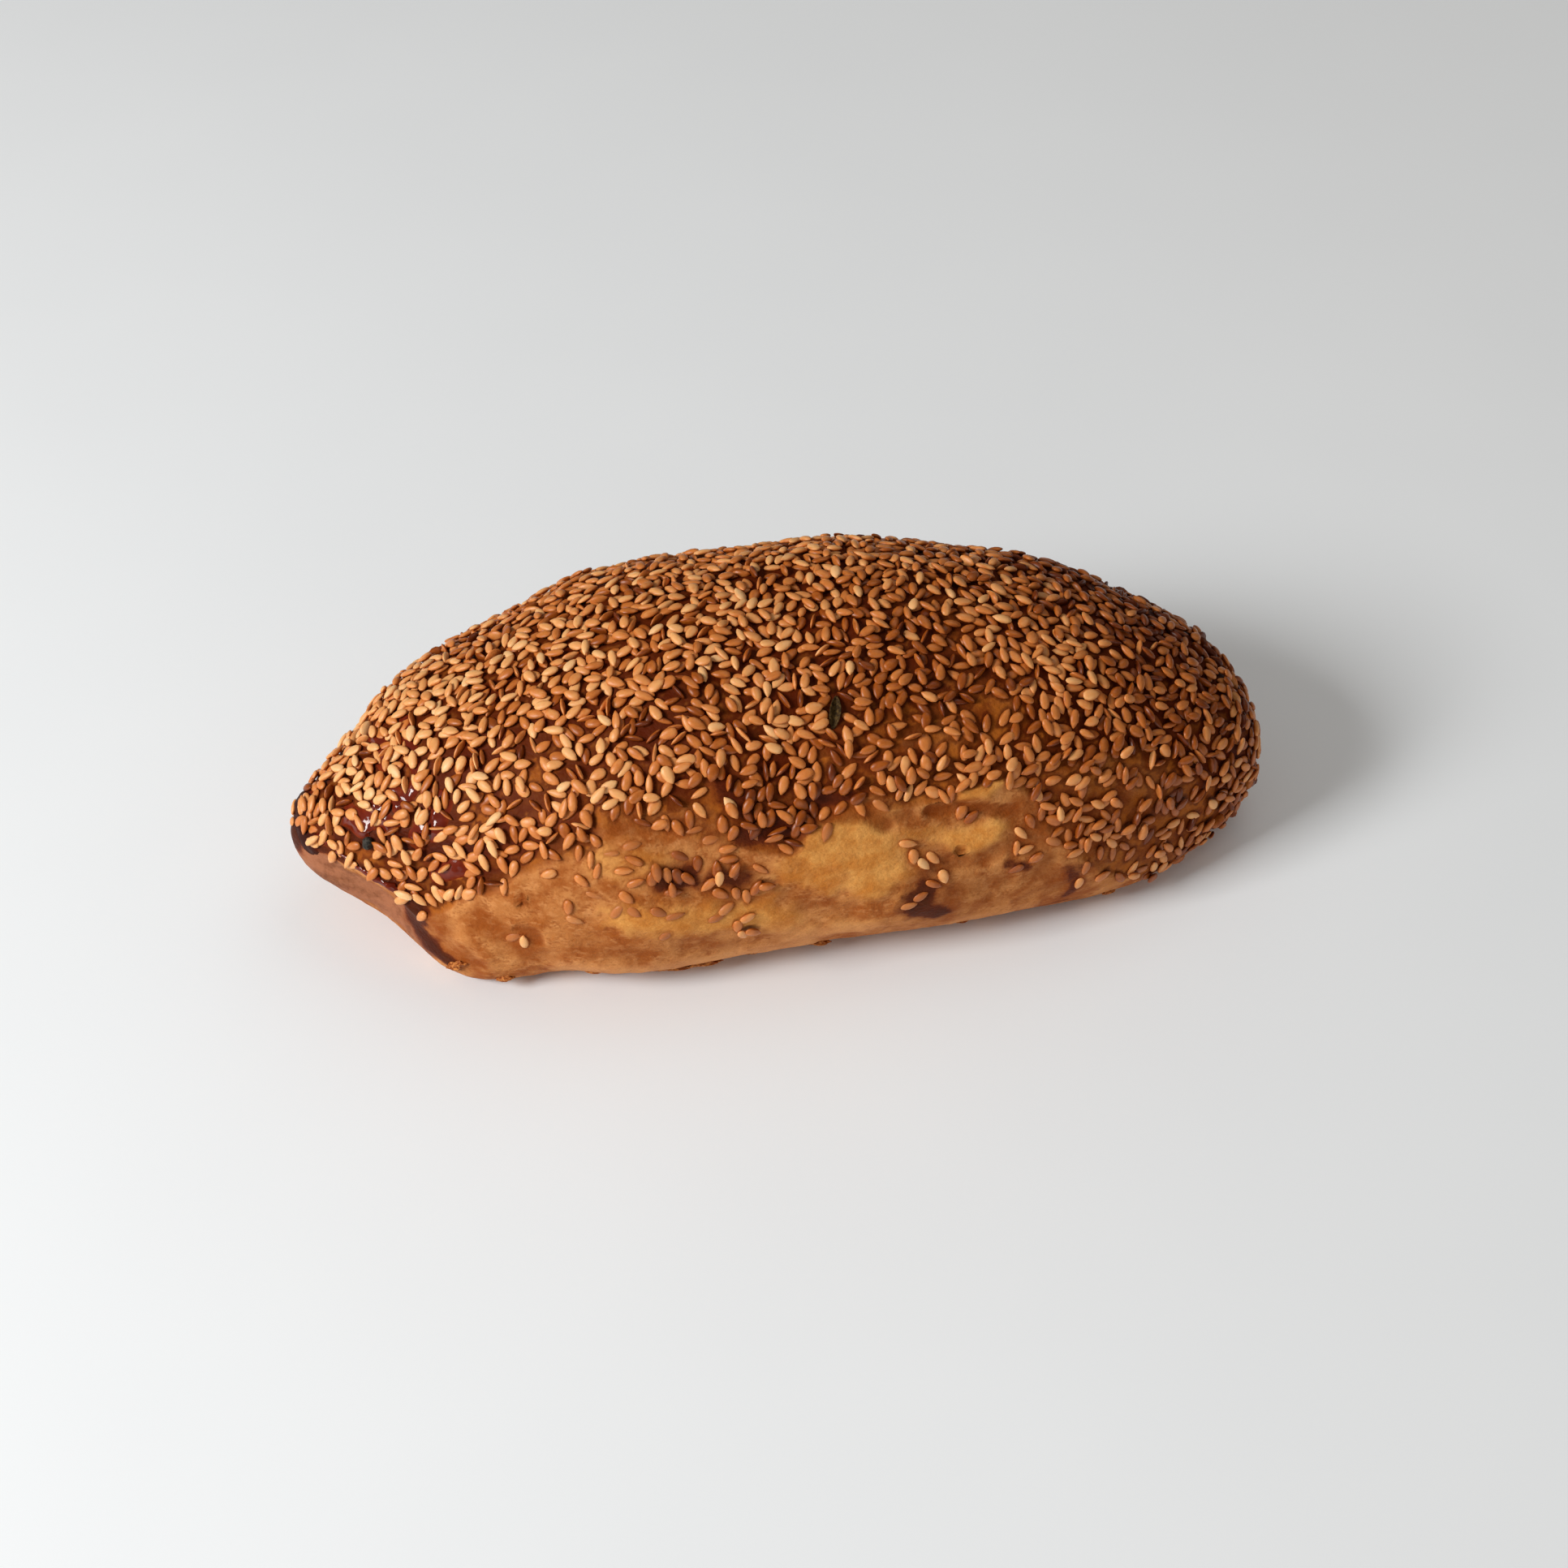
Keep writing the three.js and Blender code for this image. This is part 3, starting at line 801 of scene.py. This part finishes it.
def throw_seeds(bed, crust, marks, find):
    """Throws seeds at the skin wherever its coat says, in rounds that may come to lie higher and higher."""
    mesh = crust.data
    points, normals = corners_of(mesh), normals_of(mesh)
    mesh.calc_loop_triangles()
    corners = np.empty(len(mesh.loop_triangles) * 3, np.int32)
    mesh.loop_triangles.foreach_get("vertices", corners)
    corners = corners.reshape(-1, 3)
    a, b, c = (points[corners[:, i]] for i in range(3))
    area = np.linalg.norm(np.cross(b - a, c - a), axis=1) / 2
    share = np.maximum(marks["coat"], marks["island"])[corners].mean(1)
    share = np.where(share > LEAST_COAT, share, 0)
    heaps = np.max([nearness for (nearness,) in near_spots(points, HEAPS, find)], axis=0)[corners].mean(1)
    for throws, most_lift, steepest, heaped in THROWS:
        chance = area * share ** (1 + heaped) * (1 - heaped + heaped * heaps)
        chosen = rng.choice(len(area), throws, p=chance / chance.sum())
        weights = rng.dirichlet((1, 1, 1), throws)
        turns = rng.uniform(0, 2 * math.pi, throws)
        edges = rng.uniform(0, 1, throws) < SEEDS_ON_EDGE
        deeps = rng.beta(*DEEP_LEAN, throws)
        sticks = rng.uniform(0, 1, throws) < LEAST_GRIP + (1 - LEAST_GRIP) * share[chosen] ** 2
        landings = zip(chosen, weights, turns, edges, deeps, sticks)
        for triangle, weight, turn, on_edge, deep, stuck in landings:
            size = seed_size()
            if not stuck:
                continue
            spot = weight @ points[corners[triangle]]
            normal = weight @ normals[corners[triangle]]
            sunk = SEED_SUNK + (SEED_SUNK_ALONE - SEED_SUNK) * (1 - share[triangle]) + SEED_DEEPER * deep
            sunk = EDGE_SUNK if on_edge else sunk
            lift = min(most_lift, EDGE_LIFT) if on_edge else most_lift
            bed.lay(spot, normal, turn, size, sunk, (lift, steepest), on_edge, deep)


def lay_at(bed, find, station, level, turn, size, sunk, **facts):
    """Lays something at a place of its own on the front."""
    spot, normal, _, _ = bed.tree.find_nearest(Vector(find(("front", station, level))))
    spot, normal, size = np.array(spot), np.array(normal), np.array(size)
    bed.lay(spot, normal, math.radians(turn), size, sunk, PLACED_LIMITS, **facts)


def roll_in_sesame(crust, marks, find):
    """All that sticks to the bun: first what has a place of its own, then the coat."""
    bed = Bed(crust)
    lay_at(bed, find, *NIGELLA_SEED, NIGELLA_SIZE, NIGELLA_SUNK, kind="nigella", form="nigella")
    lay_at(bed, find, *HERB_FLAKE, HERB_SIZE, HERB_SUNK, kind="herb", form="leaf")
    for station, level, turn in STRAY_SEEDS:
        turn += rng.normal(0, SEED_TURN)
        lay_at(bed, find, station, level, turn, seed_size(), SEED_SUNK_ALONE)
    for station, level, turn in BAKED_IN_SEEDS:
        lay_at(bed, find, station, level, turn, seed_size(), SEED_BAKED_IN, kind="sesame_baked_in")
    for station, level, form, length, width, height, turn in BASE_BITS:
        size = np.array([length, width, height]) * MM
        lay_at(bed, find, station, level, turn, size, BASE_BIT_SUNK * height * MM, kind="crumbs", form=form)
    throw_seeds(bed, crust, marks, find)
    return bed.seeds


def paint_seed_shade(crust, bits):
    """Paints shade round the seeds at each point of the skin: the crust is painted darker beside each seed,
    fading within a short reach.
    """
    points = corners_of(crust.data)
    tree = KDTree(len(points))
    for i, point in enumerate(points):
        tree.insert(point, i)
    tree.balance()
    gathered = np.zeros(len(points))
    for bit in bits:
        half = bit["size"][:2] / 2
        round_it = [i for _, i, _ in tree.find_range(bit["centre"], half[0] + SEED_SHADE_REACH)]
        if round_it:
            flat = (points[round_it] - bit["centre"]) @ bit["axes"][:2].T
            off = (np.hypot(*(flat / half).T) - 1) * half[1]
            gathered[round_it] = np.maximum(gathered[round_it], smooth_step(off, SEED_SHADE_REACH, 0.0))
    paint(crust.data, "gathered", gathered)


def joined_bits(name, seeds, forms):
    """All bits of one kind as one piece, with each one's own grain and tone stored on its corner points."""
    corner_parts, face_parts, grain_parts, tone_parts = [], [], [], []
    count = 0
    for seed in seeds:
        corners, faces = forms[seed["form"]]
        corner_parts.append(seed["centre"] + (corners * seed["size"]) @ seed["axes"])
        face_parts.extend([tuple(i + count for i in face) for face in faces])
        grain_parts.append(corners)
        tone_parts.append(np.full(len(corners), seed["tone"]))
        count += len(corners)
    mesh = bpy.data.meshes.new(name)
    mesh.from_pydata(np.concatenate(corner_parts).tolist(), [], face_parts)
    grain = mesh.attributes.new("grain", "FLOAT_VECTOR", "POINT")
    grain.data.foreach_set("vector", np.concatenate(grain_parts).astype(np.float32).ravel())
    paint(mesh, "tone", np.concatenate(tone_parts))
    mesh.shade_smooth()
    return set_out(name, mesh)


# ------------------------------------------------------------------ finishes


class Wire:
    """A socket that takes Python's operators: each one adds a Math node."""

    def __init__(self, finish, socket):
        self.finish = finish
        self.socket = socket

    def math(self, operation, *others):
        """Any Math node with this value first."""
        return self.finish.node("ShaderNodeMath", {"operation": operation}, [self, *others])

    def __add__(self, other):
        return self.math("ADD", other)

    __radd__ = __add__

    def __sub__(self, other):
        return self.math("SUBTRACT", other)

    def __rsub__(self, other):
        return self.finish.node("ShaderNodeMath", {"operation": "SUBTRACT"}, [other, self])

    def __mul__(self, other):
        return self.math("MULTIPLY", other)

    __rmul__ = __mul__

    def clipped(self):
        """The same value, held between 0 and 1."""
        return self.finish.node("ShaderNodeClamp", {}, [self])


class Finish:
    """A material under the brush."""

    def __init__(self, name):
        self.material = bpy.data.materials.new(name)
        self.material.use_nodes = True
        self.tree = self.material.node_tree
        self.shader = self.tree.nodes["Principled BSDF"]

    def node(self, kind, settings, sockets, out=0):
        """Any node: its settings are set first, then its sockets, by order or by name."""
        node = self.tree.nodes.new(kind)
        for name, value in settings.items():
            if name == "stops":
                self.set_stops(node.color_ramp, value)
            else:
                setattr(node, name, value)
        pairs = sockets.items() if isinstance(sockets, dict) else enumerate(sockets)
        for key, value in pairs:
            self.plug(node.inputs[key], value)
        return Wire(self, node.outputs[out])

    def set_stops(self, ramp, stops):
        """Gives a ramp its colours, each with its place from 0 to 1."""
        while len(ramp.elements) < len(stops):
            ramp.elements.new(0.5)
        for element, (place, colour) in zip(ramp.elements, stops):
            element.position = place
            element.color = (*colour, 1)

    def plug(self, socket, value):
        """Links a wire to a socket, or sets the socket to a number or colour."""
        if isinstance(value, Wire):
            self.tree.links.new(value.socket, socket)
        elif isinstance(value, tuple) and socket.type == "RGBA":
            socket.default_value = (*value, 1)
        else:
            socket.default_value = value

    def painted(self, name, out="Fac"):
        """What was stored on the corner points under this name."""
        return self.node("ShaderNodeAttribute", {"attribute_name": name}, [], out=out)

    def place(self, scale=(1, 1, 1)):
        """Object coordinates in millimetres, stretched if asked."""
        here = self.node("ShaderNodeTexCoord", {}, [], out="Object")
        sizes = tuple(s / MM for s in scale)
        return self.node("ShaderNodeMapping", {}, {"Vector": here, "Scale": sizes})

    def cloud(self, where, size, detail=3.0, rough=0.55):
        """Noise with lumps of about this size."""
        sockets = {"Vector": where, "Scale": 1 / size, "Detail": detail, "Roughness": rough}
        return self.node("ShaderNodeTexNoise", {}, sockets, out="Fac")

    def step(self, value, low, high):
        """0 below low and 1 above high, smoothly."""
        sockets = {"Value": value, "From Min": low, "From Max": high}
        return self.node("ShaderNodeMapRange", {"interpolation_type": "SMOOTHSTEP"}, sockets)

    def mix(self, share, under, over):
        """One colour over another, as far as the share says."""
        sockets = {0: share, 6: under, 7: over}
        return self.node("ShaderNodeMix", {"data_type": "RGBA"}, sockets, out=2)

    def split(self, vector):
        """The three parts of a vector."""
        node = self.tree.nodes.new("ShaderNodeSeparateXYZ")
        self.plug(node.inputs[0], vector)
        return [Wire(self, out) for out in node.outputs]

    def ramp(self, value, stops):
        """The colour that a value stands for."""
        return self.node("ShaderNodeValToRGB", {"stops": stops}, [value])

    def bump(self, height, distance, strength):
        """Fine relief: how high, where the value is 1, and how strong."""
        sockets = {"Height": height, "Distance": distance, "Strength": strength}
        return self.node("ShaderNodeBump", {}, sockets)

    def set(self, **inputs):
        """Gives the shader's own sockets what they show."""
        for name, value in inputs.items():
            self.plug(self.shader.inputs[name.replace("_", " ")], value)


def srgb(red, green, blue):
    """A colour given as a screen shows it, from 0 to 255, as the light it stands for."""
    shares = [c / 255 for c in (red, green, blue)]
    return tuple(c / 12.92 if c <= 0.04045 else ((c + 0.055) / 1.055) ** 2.4 for c in shares)


# The tones of the crust, as a screen shows them.
CRUST_TONES = {
    "gold_dark": (159, 85, 34),
    "gold": (200, 132, 74),
    "gold_drift": (164, 86, 28),
    "gold_stroke": (224, 157, 98),
    "gold_mottle": (140, 68, 22),
    "pale_dark": (213, 134, 55),
    "pale": (242, 176, 94),
    "pale_fleck": (196, 122, 54),
    "pale_foot": (222, 156, 106),
    "brown": (134, 60, 10),
    "nose_shade_dark": (116, 67, 45),
    "rosy": (162, 104, 75),
    "seed_shade_on_bare": (136, 60, 16),
    "glazed_dark": (122, 54, 9),
    "glazed": (164, 88, 23),
    "wash_and_shade_under_thick_coat": (88, 35, 5),
    "seed_shade_in_coat": (77, 17, 0),
    "tray_dark": (148, 82, 32),
    "tray": (202, 132, 70),
}

# Where egg wash soaked in, from hardly any to the thickest.
SOAKED_TONES = [
    (0.0, srgb(166, 92, 36)),
    (0.35, srgb(126, 56, 18)),
    (0.7, srgb(88, 32, 10)),
    (1.0, srgb(60, 18, 5)),
]


def crust_finish():
    """Baked dough: golden and mottled where bare, deeper under the seeds, dark where egg wash soaked in;
    with painted shade round each seed, under a thick coat and under the nose.
    """
    f = Finish("baked_crust")
    tone = {name: srgb(*shown) for name, shown in CRUST_TONES.items()}
    at = f.place()
    coat, wash = f.painted("coat"), f.painted("wash")
    pale, brown, rosy = f.painted("pale"), f.painted("brown"), f.painted("rosy")
    drift = f.cloud(at, 10.0, 2.0)
    blotch = f.cloud(at, 4.2, 4.0, 0.6)
    mottle = f.cloud(at, 1.9, 5.0, 0.65)
    fleck = f.cloud(f.place((1, 1, 1.5)), 0.6, 2.0, 0.5)
    stroke = f.cloud(f.place((0.7, 0.7, 1.2)), 1.3, 2.0, 0.5)
    gathered = f.painted("gathered")
    _, _, height = f.split(at)
    ragged = (mottle - 0.5) * 0.9 + (fleck - 0.5) * 0.4

    bare = f.mix(f.step(blotch, 0.34, 0.64), tone["gold_dark"], tone["gold"])
    bare = f.mix(f.step(drift + (mottle - 0.5) * 0.5, 0.44, 0.68) * 0.40, bare, tone["gold_drift"])
    bare = f.mix(f.step(stroke + (fleck - 0.5) * 0.5, 0.50, 0.74) * 0.38, bare, tone["gold_stroke"])
    bare = f.mix(f.step(mottle + (fleck - 0.5) * 0.8, 0.46, 0.26) * 0.50, bare, tone["gold_mottle"])
    light = f.mix(f.step(blotch + (mottle - 0.5) * 0.3, 0.30, 0.70), tone["pale_dark"], tone["pale"])
    light = f.mix(f.step(fleck + (stroke - 0.5) * 0.6, 0.42, 0.72) * 0.34, light, tone["pale_fleck"])
    light = f.mix(f.step(height, 15.0, 8.0) * 0.7, light, tone["pale_foot"])
    bare = f.mix(f.step(pale + ragged * 0.6, -0.05, 1.05) * 0.88, bare, light)
    bare = f.mix(f.step(brown + ragged * 1.0, 0.05, 1.05) * 0.85, bare, tone["brown"])
    # painted shade under the nose, tinted rosy by painted bounce light
    nose_shade_tone = f.mix(f.step(mottle + drift, 0.8, 1.15), tone["nose_shade_dark"], tone["rosy"])
    bare = f.mix(f.step(rosy + ragged * 0.5, 0.10, 0.75) * 0.9, bare, nose_shade_tone)
    # painted shade: a dark ring on the bare crust round each seed
    bare = f.mix(f.step(gathered + ragged * 0.3, 0.30, 0.95) * 0.40, bare, tone["seed_shade_on_bare"])

    glazed = f.mix(f.step(blotch + (mottle - 0.5) * 0.5, 0.36, 0.64), tone["glazed_dark"], tone["glazed"])
    # egg wash and painted shade: the crust under a thick coat is darker, as in the shade of the crowded
    # seeds
    glazed = f.mix(f.step(coat, 0.70, 0.98) * 0.65, glazed, tone["wash_and_shade_under_thick_coat"])
    # painted shade round each seed in the coat, stronger where the coat is thick
    seed_shade_share = f.step(gathered + ragged * 0.25, 0.05, 0.80) * (0.46 + coat * 0.46)
    glazed = f.mix(seed_shade_share, glazed, tone["seed_shade_in_coat"])

    skin = f.mix(f.step(coat + ragged * 0.6, 0.06, 0.62) * 0.94, bare, glazed)
    soaked = f.step(wash + ragged * 0.7, 0.0, 1.15)
    skin = f.mix((soaked * 1.5).clipped() * 0.95, skin, f.ramp(soaked, SOAKED_TONES))
    tray = f.mix(f.step(mottle, 0.35, 0.62), tone["tray_dark"], tone["tray"])
    f.set(
        Base_Color=f.mix(f.step(height + (mottle - 0.5) * 0.8, 0.55, 0.05) * 0.85, skin, tray),
        Roughness=0.58 - soaked * 0.12 + (fleck - 0.5) * 0.15,
        Normal=f.bump(fleck * 0.6 + stroke * 0.4 + mottle * 0.5, 0.34 * MM, 0.65),
        IOR=1.25,
        Specular_IOR_Level=0.20,
    )
    return f.material


FILM_TONES = [
    (0.0, srgb(134, 54, 20)),
    (0.45, srgb(108, 32, 12)),
    (1.0, srgb(90, 20, 5)),
]
CHARRED = srgb(38, 14, 6)
CHARRED_TIP = (-68.6, -70.8)  # in mm along the bun: where the char begins, and where it is full


def egg_wash_finish():
    """Egg wash baked to a varnish: amber where thin, near black where thick, and burnt dull at the tip."""
    f = Finish("egg_wash")
    at = f.place()
    depth, shine = f.painted("depth"), f.painted("shine")
    along, _, _ = f.split(at)
    patchy = f.cloud(at, 1.4, 2.0, 0.5)
    crackle = f.cloud(at, 0.5, 3.0, 0.6)
    char = f.step(along + (patchy - 0.5) * 4.0, *CHARRED_TIP)
    colour = f.ramp((depth * 0.8 + (patchy - 0.35) * 0.7).clipped(), FILM_TONES)
    f.set(
        Base_Color=f.mix(char * 0.85, colour, CHARRED),
        Roughness=0.50 + (patchy - 0.4) * 0.2,
        Coat_Weight=(shine * f.step(depth, 0.2, 0.7)).clipped(),
        Normal=f.bump(patchy * 0.6 + char * crackle * 1.4, 0.25 * MM, 0.4),
        Specular_IOR_Level=0.05,
        Coat_Roughness=0.09,
        Coat_IOR=1.45,
    )
    return f.material


SEED_TONES = [
    (0.0, srgb(244, 197, 141)),
    (0.25, srgb(237, 172, 107)),
    (0.5, srgb(211, 127, 60)),
    (0.75, srgb(160, 80, 17)),
    (1.0, srgb(104, 41, 4)),
]

# A seed under the skin of the dough takes the crust's tones.
BAKED_IN_TONES = [
    (0.0, srgb(212, 142, 80)),
    (0.5, srgb(184, 106, 46)),
    (1.0, srgb(140, 66, 20)),
]

# Each kind of seed: its name, the darkest tone that it goes up to, and its roughness.
SESAME_KINDS = [
    ("sesame_pale", 0.30, 0.46),
    ("sesame_golden", 0.44, 0.42),
    ("sesame_tan", 0.58, 0.42),
    ("sesame_toasted", 1.0, 0.38),
]


def sesame_finish(name, gloss, tones):
    """A sesame hull: one tone for each seed, browner at its point, darker at its rim and underside with
    painted shade, with faint lines and specks.
    """
    f = Finish(name)
    grain = f.painted("grain", out="Vector")
    along, across, above = f.split(grain)
    tone = f.painted("tone")
    own = f.node(
        "ShaderNodeTexNoise",
        {"noise_dimensions": "4D"},
        {"Vector": grain, "W": tone * 90.0, "Scale": 2.2, "Detail": 3.0, "Roughness": 0.6},
        out="Fac",
    )
    # painted shade, partly real browning: the seed is darker along its rim
    rim = f.step(across.math("ABSOLUTE"), 0.28, 0.50)
    point = f.step(along, 0.28, 0.50)
    # painted shade: the seed is darker on its underside, where it meets the crust and its neighbours
    foot = f.step(above, 0.10, -0.30)
    seed_toast_and_shade = tone + (own - 0.5) * 0.36 + rim * 0.16 + point * 0.16 + foot * 0.30
    f.set(
        Base_Color=f.ramp(seed_toast_and_shade.clipped(), tones),
        Roughness=gloss + (own - 0.5) * 0.2,
        Normal=f.bump(own, 0.10 * MM, 0.5),
        Specular_IOR_Level=0.38,
        Subsurface_Weight=0.15,
        Subsurface_Scale=0.6 * MM,
        Subsurface_Radius=(1.0, 0.5, 0.25),
    )
    return f.material


def dull_finish(name, dark, light, roughness):
    """A dry, dull thing with two tones: a nigella seed, a flake of herb or a crumb."""
    f = Finish(name)
    at = f.place()
    speckle = f.cloud(at, 0.45, 3.0, 0.6)
    f.set(
        Base_Color=f.mix(f.step(speckle, 0.38, 0.68), dark, light),
        Roughness=roughness + (speckle - 0.5) * 0.2,
        Normal=f.bump(speckle, 0.15 * MM, 0.7),
        Specular_IOR_Level=0.15,
    )
    return f.material


FLOOR_TONES = [(0.79, 0.83, 0.865), (0.83, 0.87, 0.905)]
FLOOR_GLOW = 0.15
FLOOR_GLOW_TONES = [(0.1, 0.1, 0.1), (1.0, 1.0, 1.0)]  # beside what stands on it, and in the open
FLOOR_GLOW_REACH = 0.07


def floor_finish():
    """A plain pale surface, hardly mottled. Its own faint light dims beside whatever stands on it."""
    f = Finish("pale_floor")
    soft = f.cloud(f.place(), 60.0, 2.0)
    reach = {"Distance": FLOOR_GLOW_REACH}
    open_sky = f.node("ShaderNodeAmbientOcclusion", {"samples": 8}, reach, out="AO")
    f.set(
        Base_Color=f.mix(soft, *FLOOR_TONES),
        Roughness=0.6 + soft * 0.05,
        Emission_Color=f.mix(open_sky, *FLOOR_GLOW_TONES),
        Emission_Strength=FLOOR_GLOW,
    )
    return f.material


# ------------------------------------------------------------------ the studio

VIEW_AZIMUTH = math.radians(-10.15)
VIEW_ELEVATION = math.radians(45)
VIEW_DISTANCE = 0.400
VIEW_MIDDLE = Vector((0, 0.005 * HALF_LENGTH, 0.447 * HEIGHT))
AIM_RIGHT = 0.70 * MM  # how far beside and below that middle the camera aims
AIM_BELOW = 8.15 * MM
LENS = 61.3

# Soft rectangular lights: name, place, aim, size, watts and colour.
WINDOWS = [
    ("key", (-0.700, -0.235, 0.515), (0, 0, 0.02), (0.32, 0.32), 7.8, (1.0, 0.985, 0.965)),
    ("top", (0.45, 0.30, 1.0), (0, 0, 0), (0.8, 0.8), 1.6, (1.0, 0.95, 0.88)),
    ("front", (0.15, -0.85, 0.11), (0, 0, 0.02), (0.7, 0.2), 1.0, (1.0, 0.93, 0.85)),
]
ROOM_TONE = (1.0, 0.92, 0.82, 1)
ROOM_LIGHT = 0.10


def set_camera():
    """Looks down on the front, a little from the nose's side, and aims low so that the bun sits high."""
    a, e = VIEW_AZIMUTH, VIEW_ELEVATION
    back = Vector((math.sin(a) * math.cos(e), -math.cos(a) * math.cos(e), math.sin(e)))
    right = Vector((math.cos(a), math.sin(a), 0))
    up = back.cross(right)
    aim = VIEW_MIDDLE + right * AIM_RIGHT - up * AIM_BELOW
    camera = set_out("camera", bpy.data.cameras.new("camera"))
    camera.data.lens = LENS
    camera.data.clip_start = 0.01
    camera.location = aim + back * VIEW_DISTANCE
    camera.rotation_euler = (-back).to_track_quat("-Z", "Y").to_euler()
    bpy.context.scene.camera = camera


def add_window(name, place, aim, size, watts, colour):
    """A soft rectangular light that faces its aim."""
    light = bpy.data.lights.new(name, "AREA")
    light.shape = "RECTANGLE"
    light.size, light.size_y = size
    light.energy = watts
    light.color = colour
    lamp = set_out(name, light)
    lamp.location = place
    lamp.rotation_euler = (Vector(aim) - Vector(place)).to_track_quat("-Z", "Y").to_euler()


def set_studio():
    """The pale floor, the lights and the room's own faint warm light."""
    bpy.ops.object.select_all(action="DESELECT")
    bpy.ops.mesh.primitive_plane_add(size=4)
    floor = bpy.context.object
    floor.name = "floor"
    floor.data.materials.append(floor_finish())
    for window in WINDOWS:
        add_window(*window)
    world = bpy.data.worlds.new("room")
    world.use_nodes = True
    background = world.node_tree.nodes["Background"]
    background.inputs["Color"].default_value = ROOM_TONE
    background.inputs["Strength"].default_value = ROOM_LIGHT
    bpy.context.scene.world = world
    bpy.context.scene.view_settings.view_transform = "Standard"


# ------------------------------------------------------------------ putting it together


def sort_bits(bits, find):
    """Gives each seed its form and tone, and sorts all that sticks to the bun into kinds."""
    centres = np.array([bit["centre"] for bit in bits])
    deeps = np.array([bit["deep"] for bit in bits])
    # painted shade as well as toasting: darker towards the heel, the side away from the key light
    to_heel = smooth_step(centres[:, 0], HEEL_TOAST_AND_SHADE_FROM * HALF_LENGTH, HEEL_TOAST_AND_SHADE_TO * HALF_LENGTH)
    toast_light_and_shade = TOAST_AND_SHADE["all"] + TOAST_AND_SHADE["heel"] * to_heel
    toast_light_and_shade += TOAST_AND_SHADE["drift"] * wander(centres, "toast_light_and_shade")
    for nearness, more in near_spots(centres, TOAST_LIGHT_AND_SHADE_SPOTS, find):
        toast_light_and_shade += more * nearness
    toast_light_and_shade += TOAST_AND_SHADE["deep"] * (deeps - DEEP_MIDDLE)
    tones = np.clip(rng.normal(toast_light_and_shade, TOAST_AND_SHADE["spread"]), *TOAST_LIMITS)
    shapes = rng.choice(list(SEED_SHAPES), len(bits), p=list(SEED_SHAPES.values()))
    kinds = {}
    for bit, tone, shape in zip(bits, tones, shapes):
        bit["tone"] = tone
        bit.setdefault("form", shape)
        name = next(name for name, up_to, _ in SESAME_KINDS if tone < up_to)
        kinds.setdefault(bit.get("kind", name), []).append(bit)
    return kinds


def bit_finishes():
    """The finish of each kind of bit, by its name."""
    finishes = {name: sesame_finish(name, gloss, SEED_TONES) for name, _, gloss in SESAME_KINDS}
    finishes["sesame_baked_in"] = sesame_finish("sesame_baked_in", 0.50, BAKED_IN_TONES)
    finishes["nigella"] = dull_finish("nigella", srgb(34, 32, 30), srgb(74, 70, 62), 0.55)
    finishes["herb"] = dull_finish("herb", srgb(44, 28, 8), srgb(92, 70, 34), 0.7)
    finishes["crumbs"] = dull_finish("crumbs", srgb(136, 66, 22), srgb(206, 132, 66), 0.6)
    return finishes


SLOTS = {"nigella": "nigella", "herb": "herb", "crumbs": "crust"}


def make_bits(crust, marks, find):
    """The sesame and all else that sticks to the bun, one piece for each kind."""
    forms = {
        "plump": seed_form(0.58, 0.86, 0.0),
        "slim": seed_form(0.48, 0.80, 0.0),
        "curled": seed_form(0.52, 0.84, 0.30),
        "nigella": nigella_form(),
        "leaf": leaf_form(),
        "crumb": crumb_form("crumb_lumps", 0.7),
        "flake": crumb_form("flake_lumps", 0.9),
    }
    bits = roll_in_sesame(crust, marks, find)
    paint_seed_shade(crust, bits)
    finishes = bit_finishes()
    for name, members in sort_bits(bits, find).items():
        piece = joined_bits(name, members, forms)
        piece.data.materials.append(finishes[name])
        SLOTS.get(name, "sesame")
        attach(piece, "root")


def main():
    """The crust, its film of egg wash, all that sticks to it, and then the studio."""
    crust, marks = make_crust()
    find = side_finder(crust)
    crust.data.materials.append(crust_finish())
    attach(crust, "root")
    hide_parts("bun")
    egg_wash = pour_egg_wash(crust, find)
    egg_wash.data.materials.append(egg_wash_finish())
    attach(egg_wash, "root")
    make_bits(crust, marks, find)
    set_camera()
    set_studio()


main()
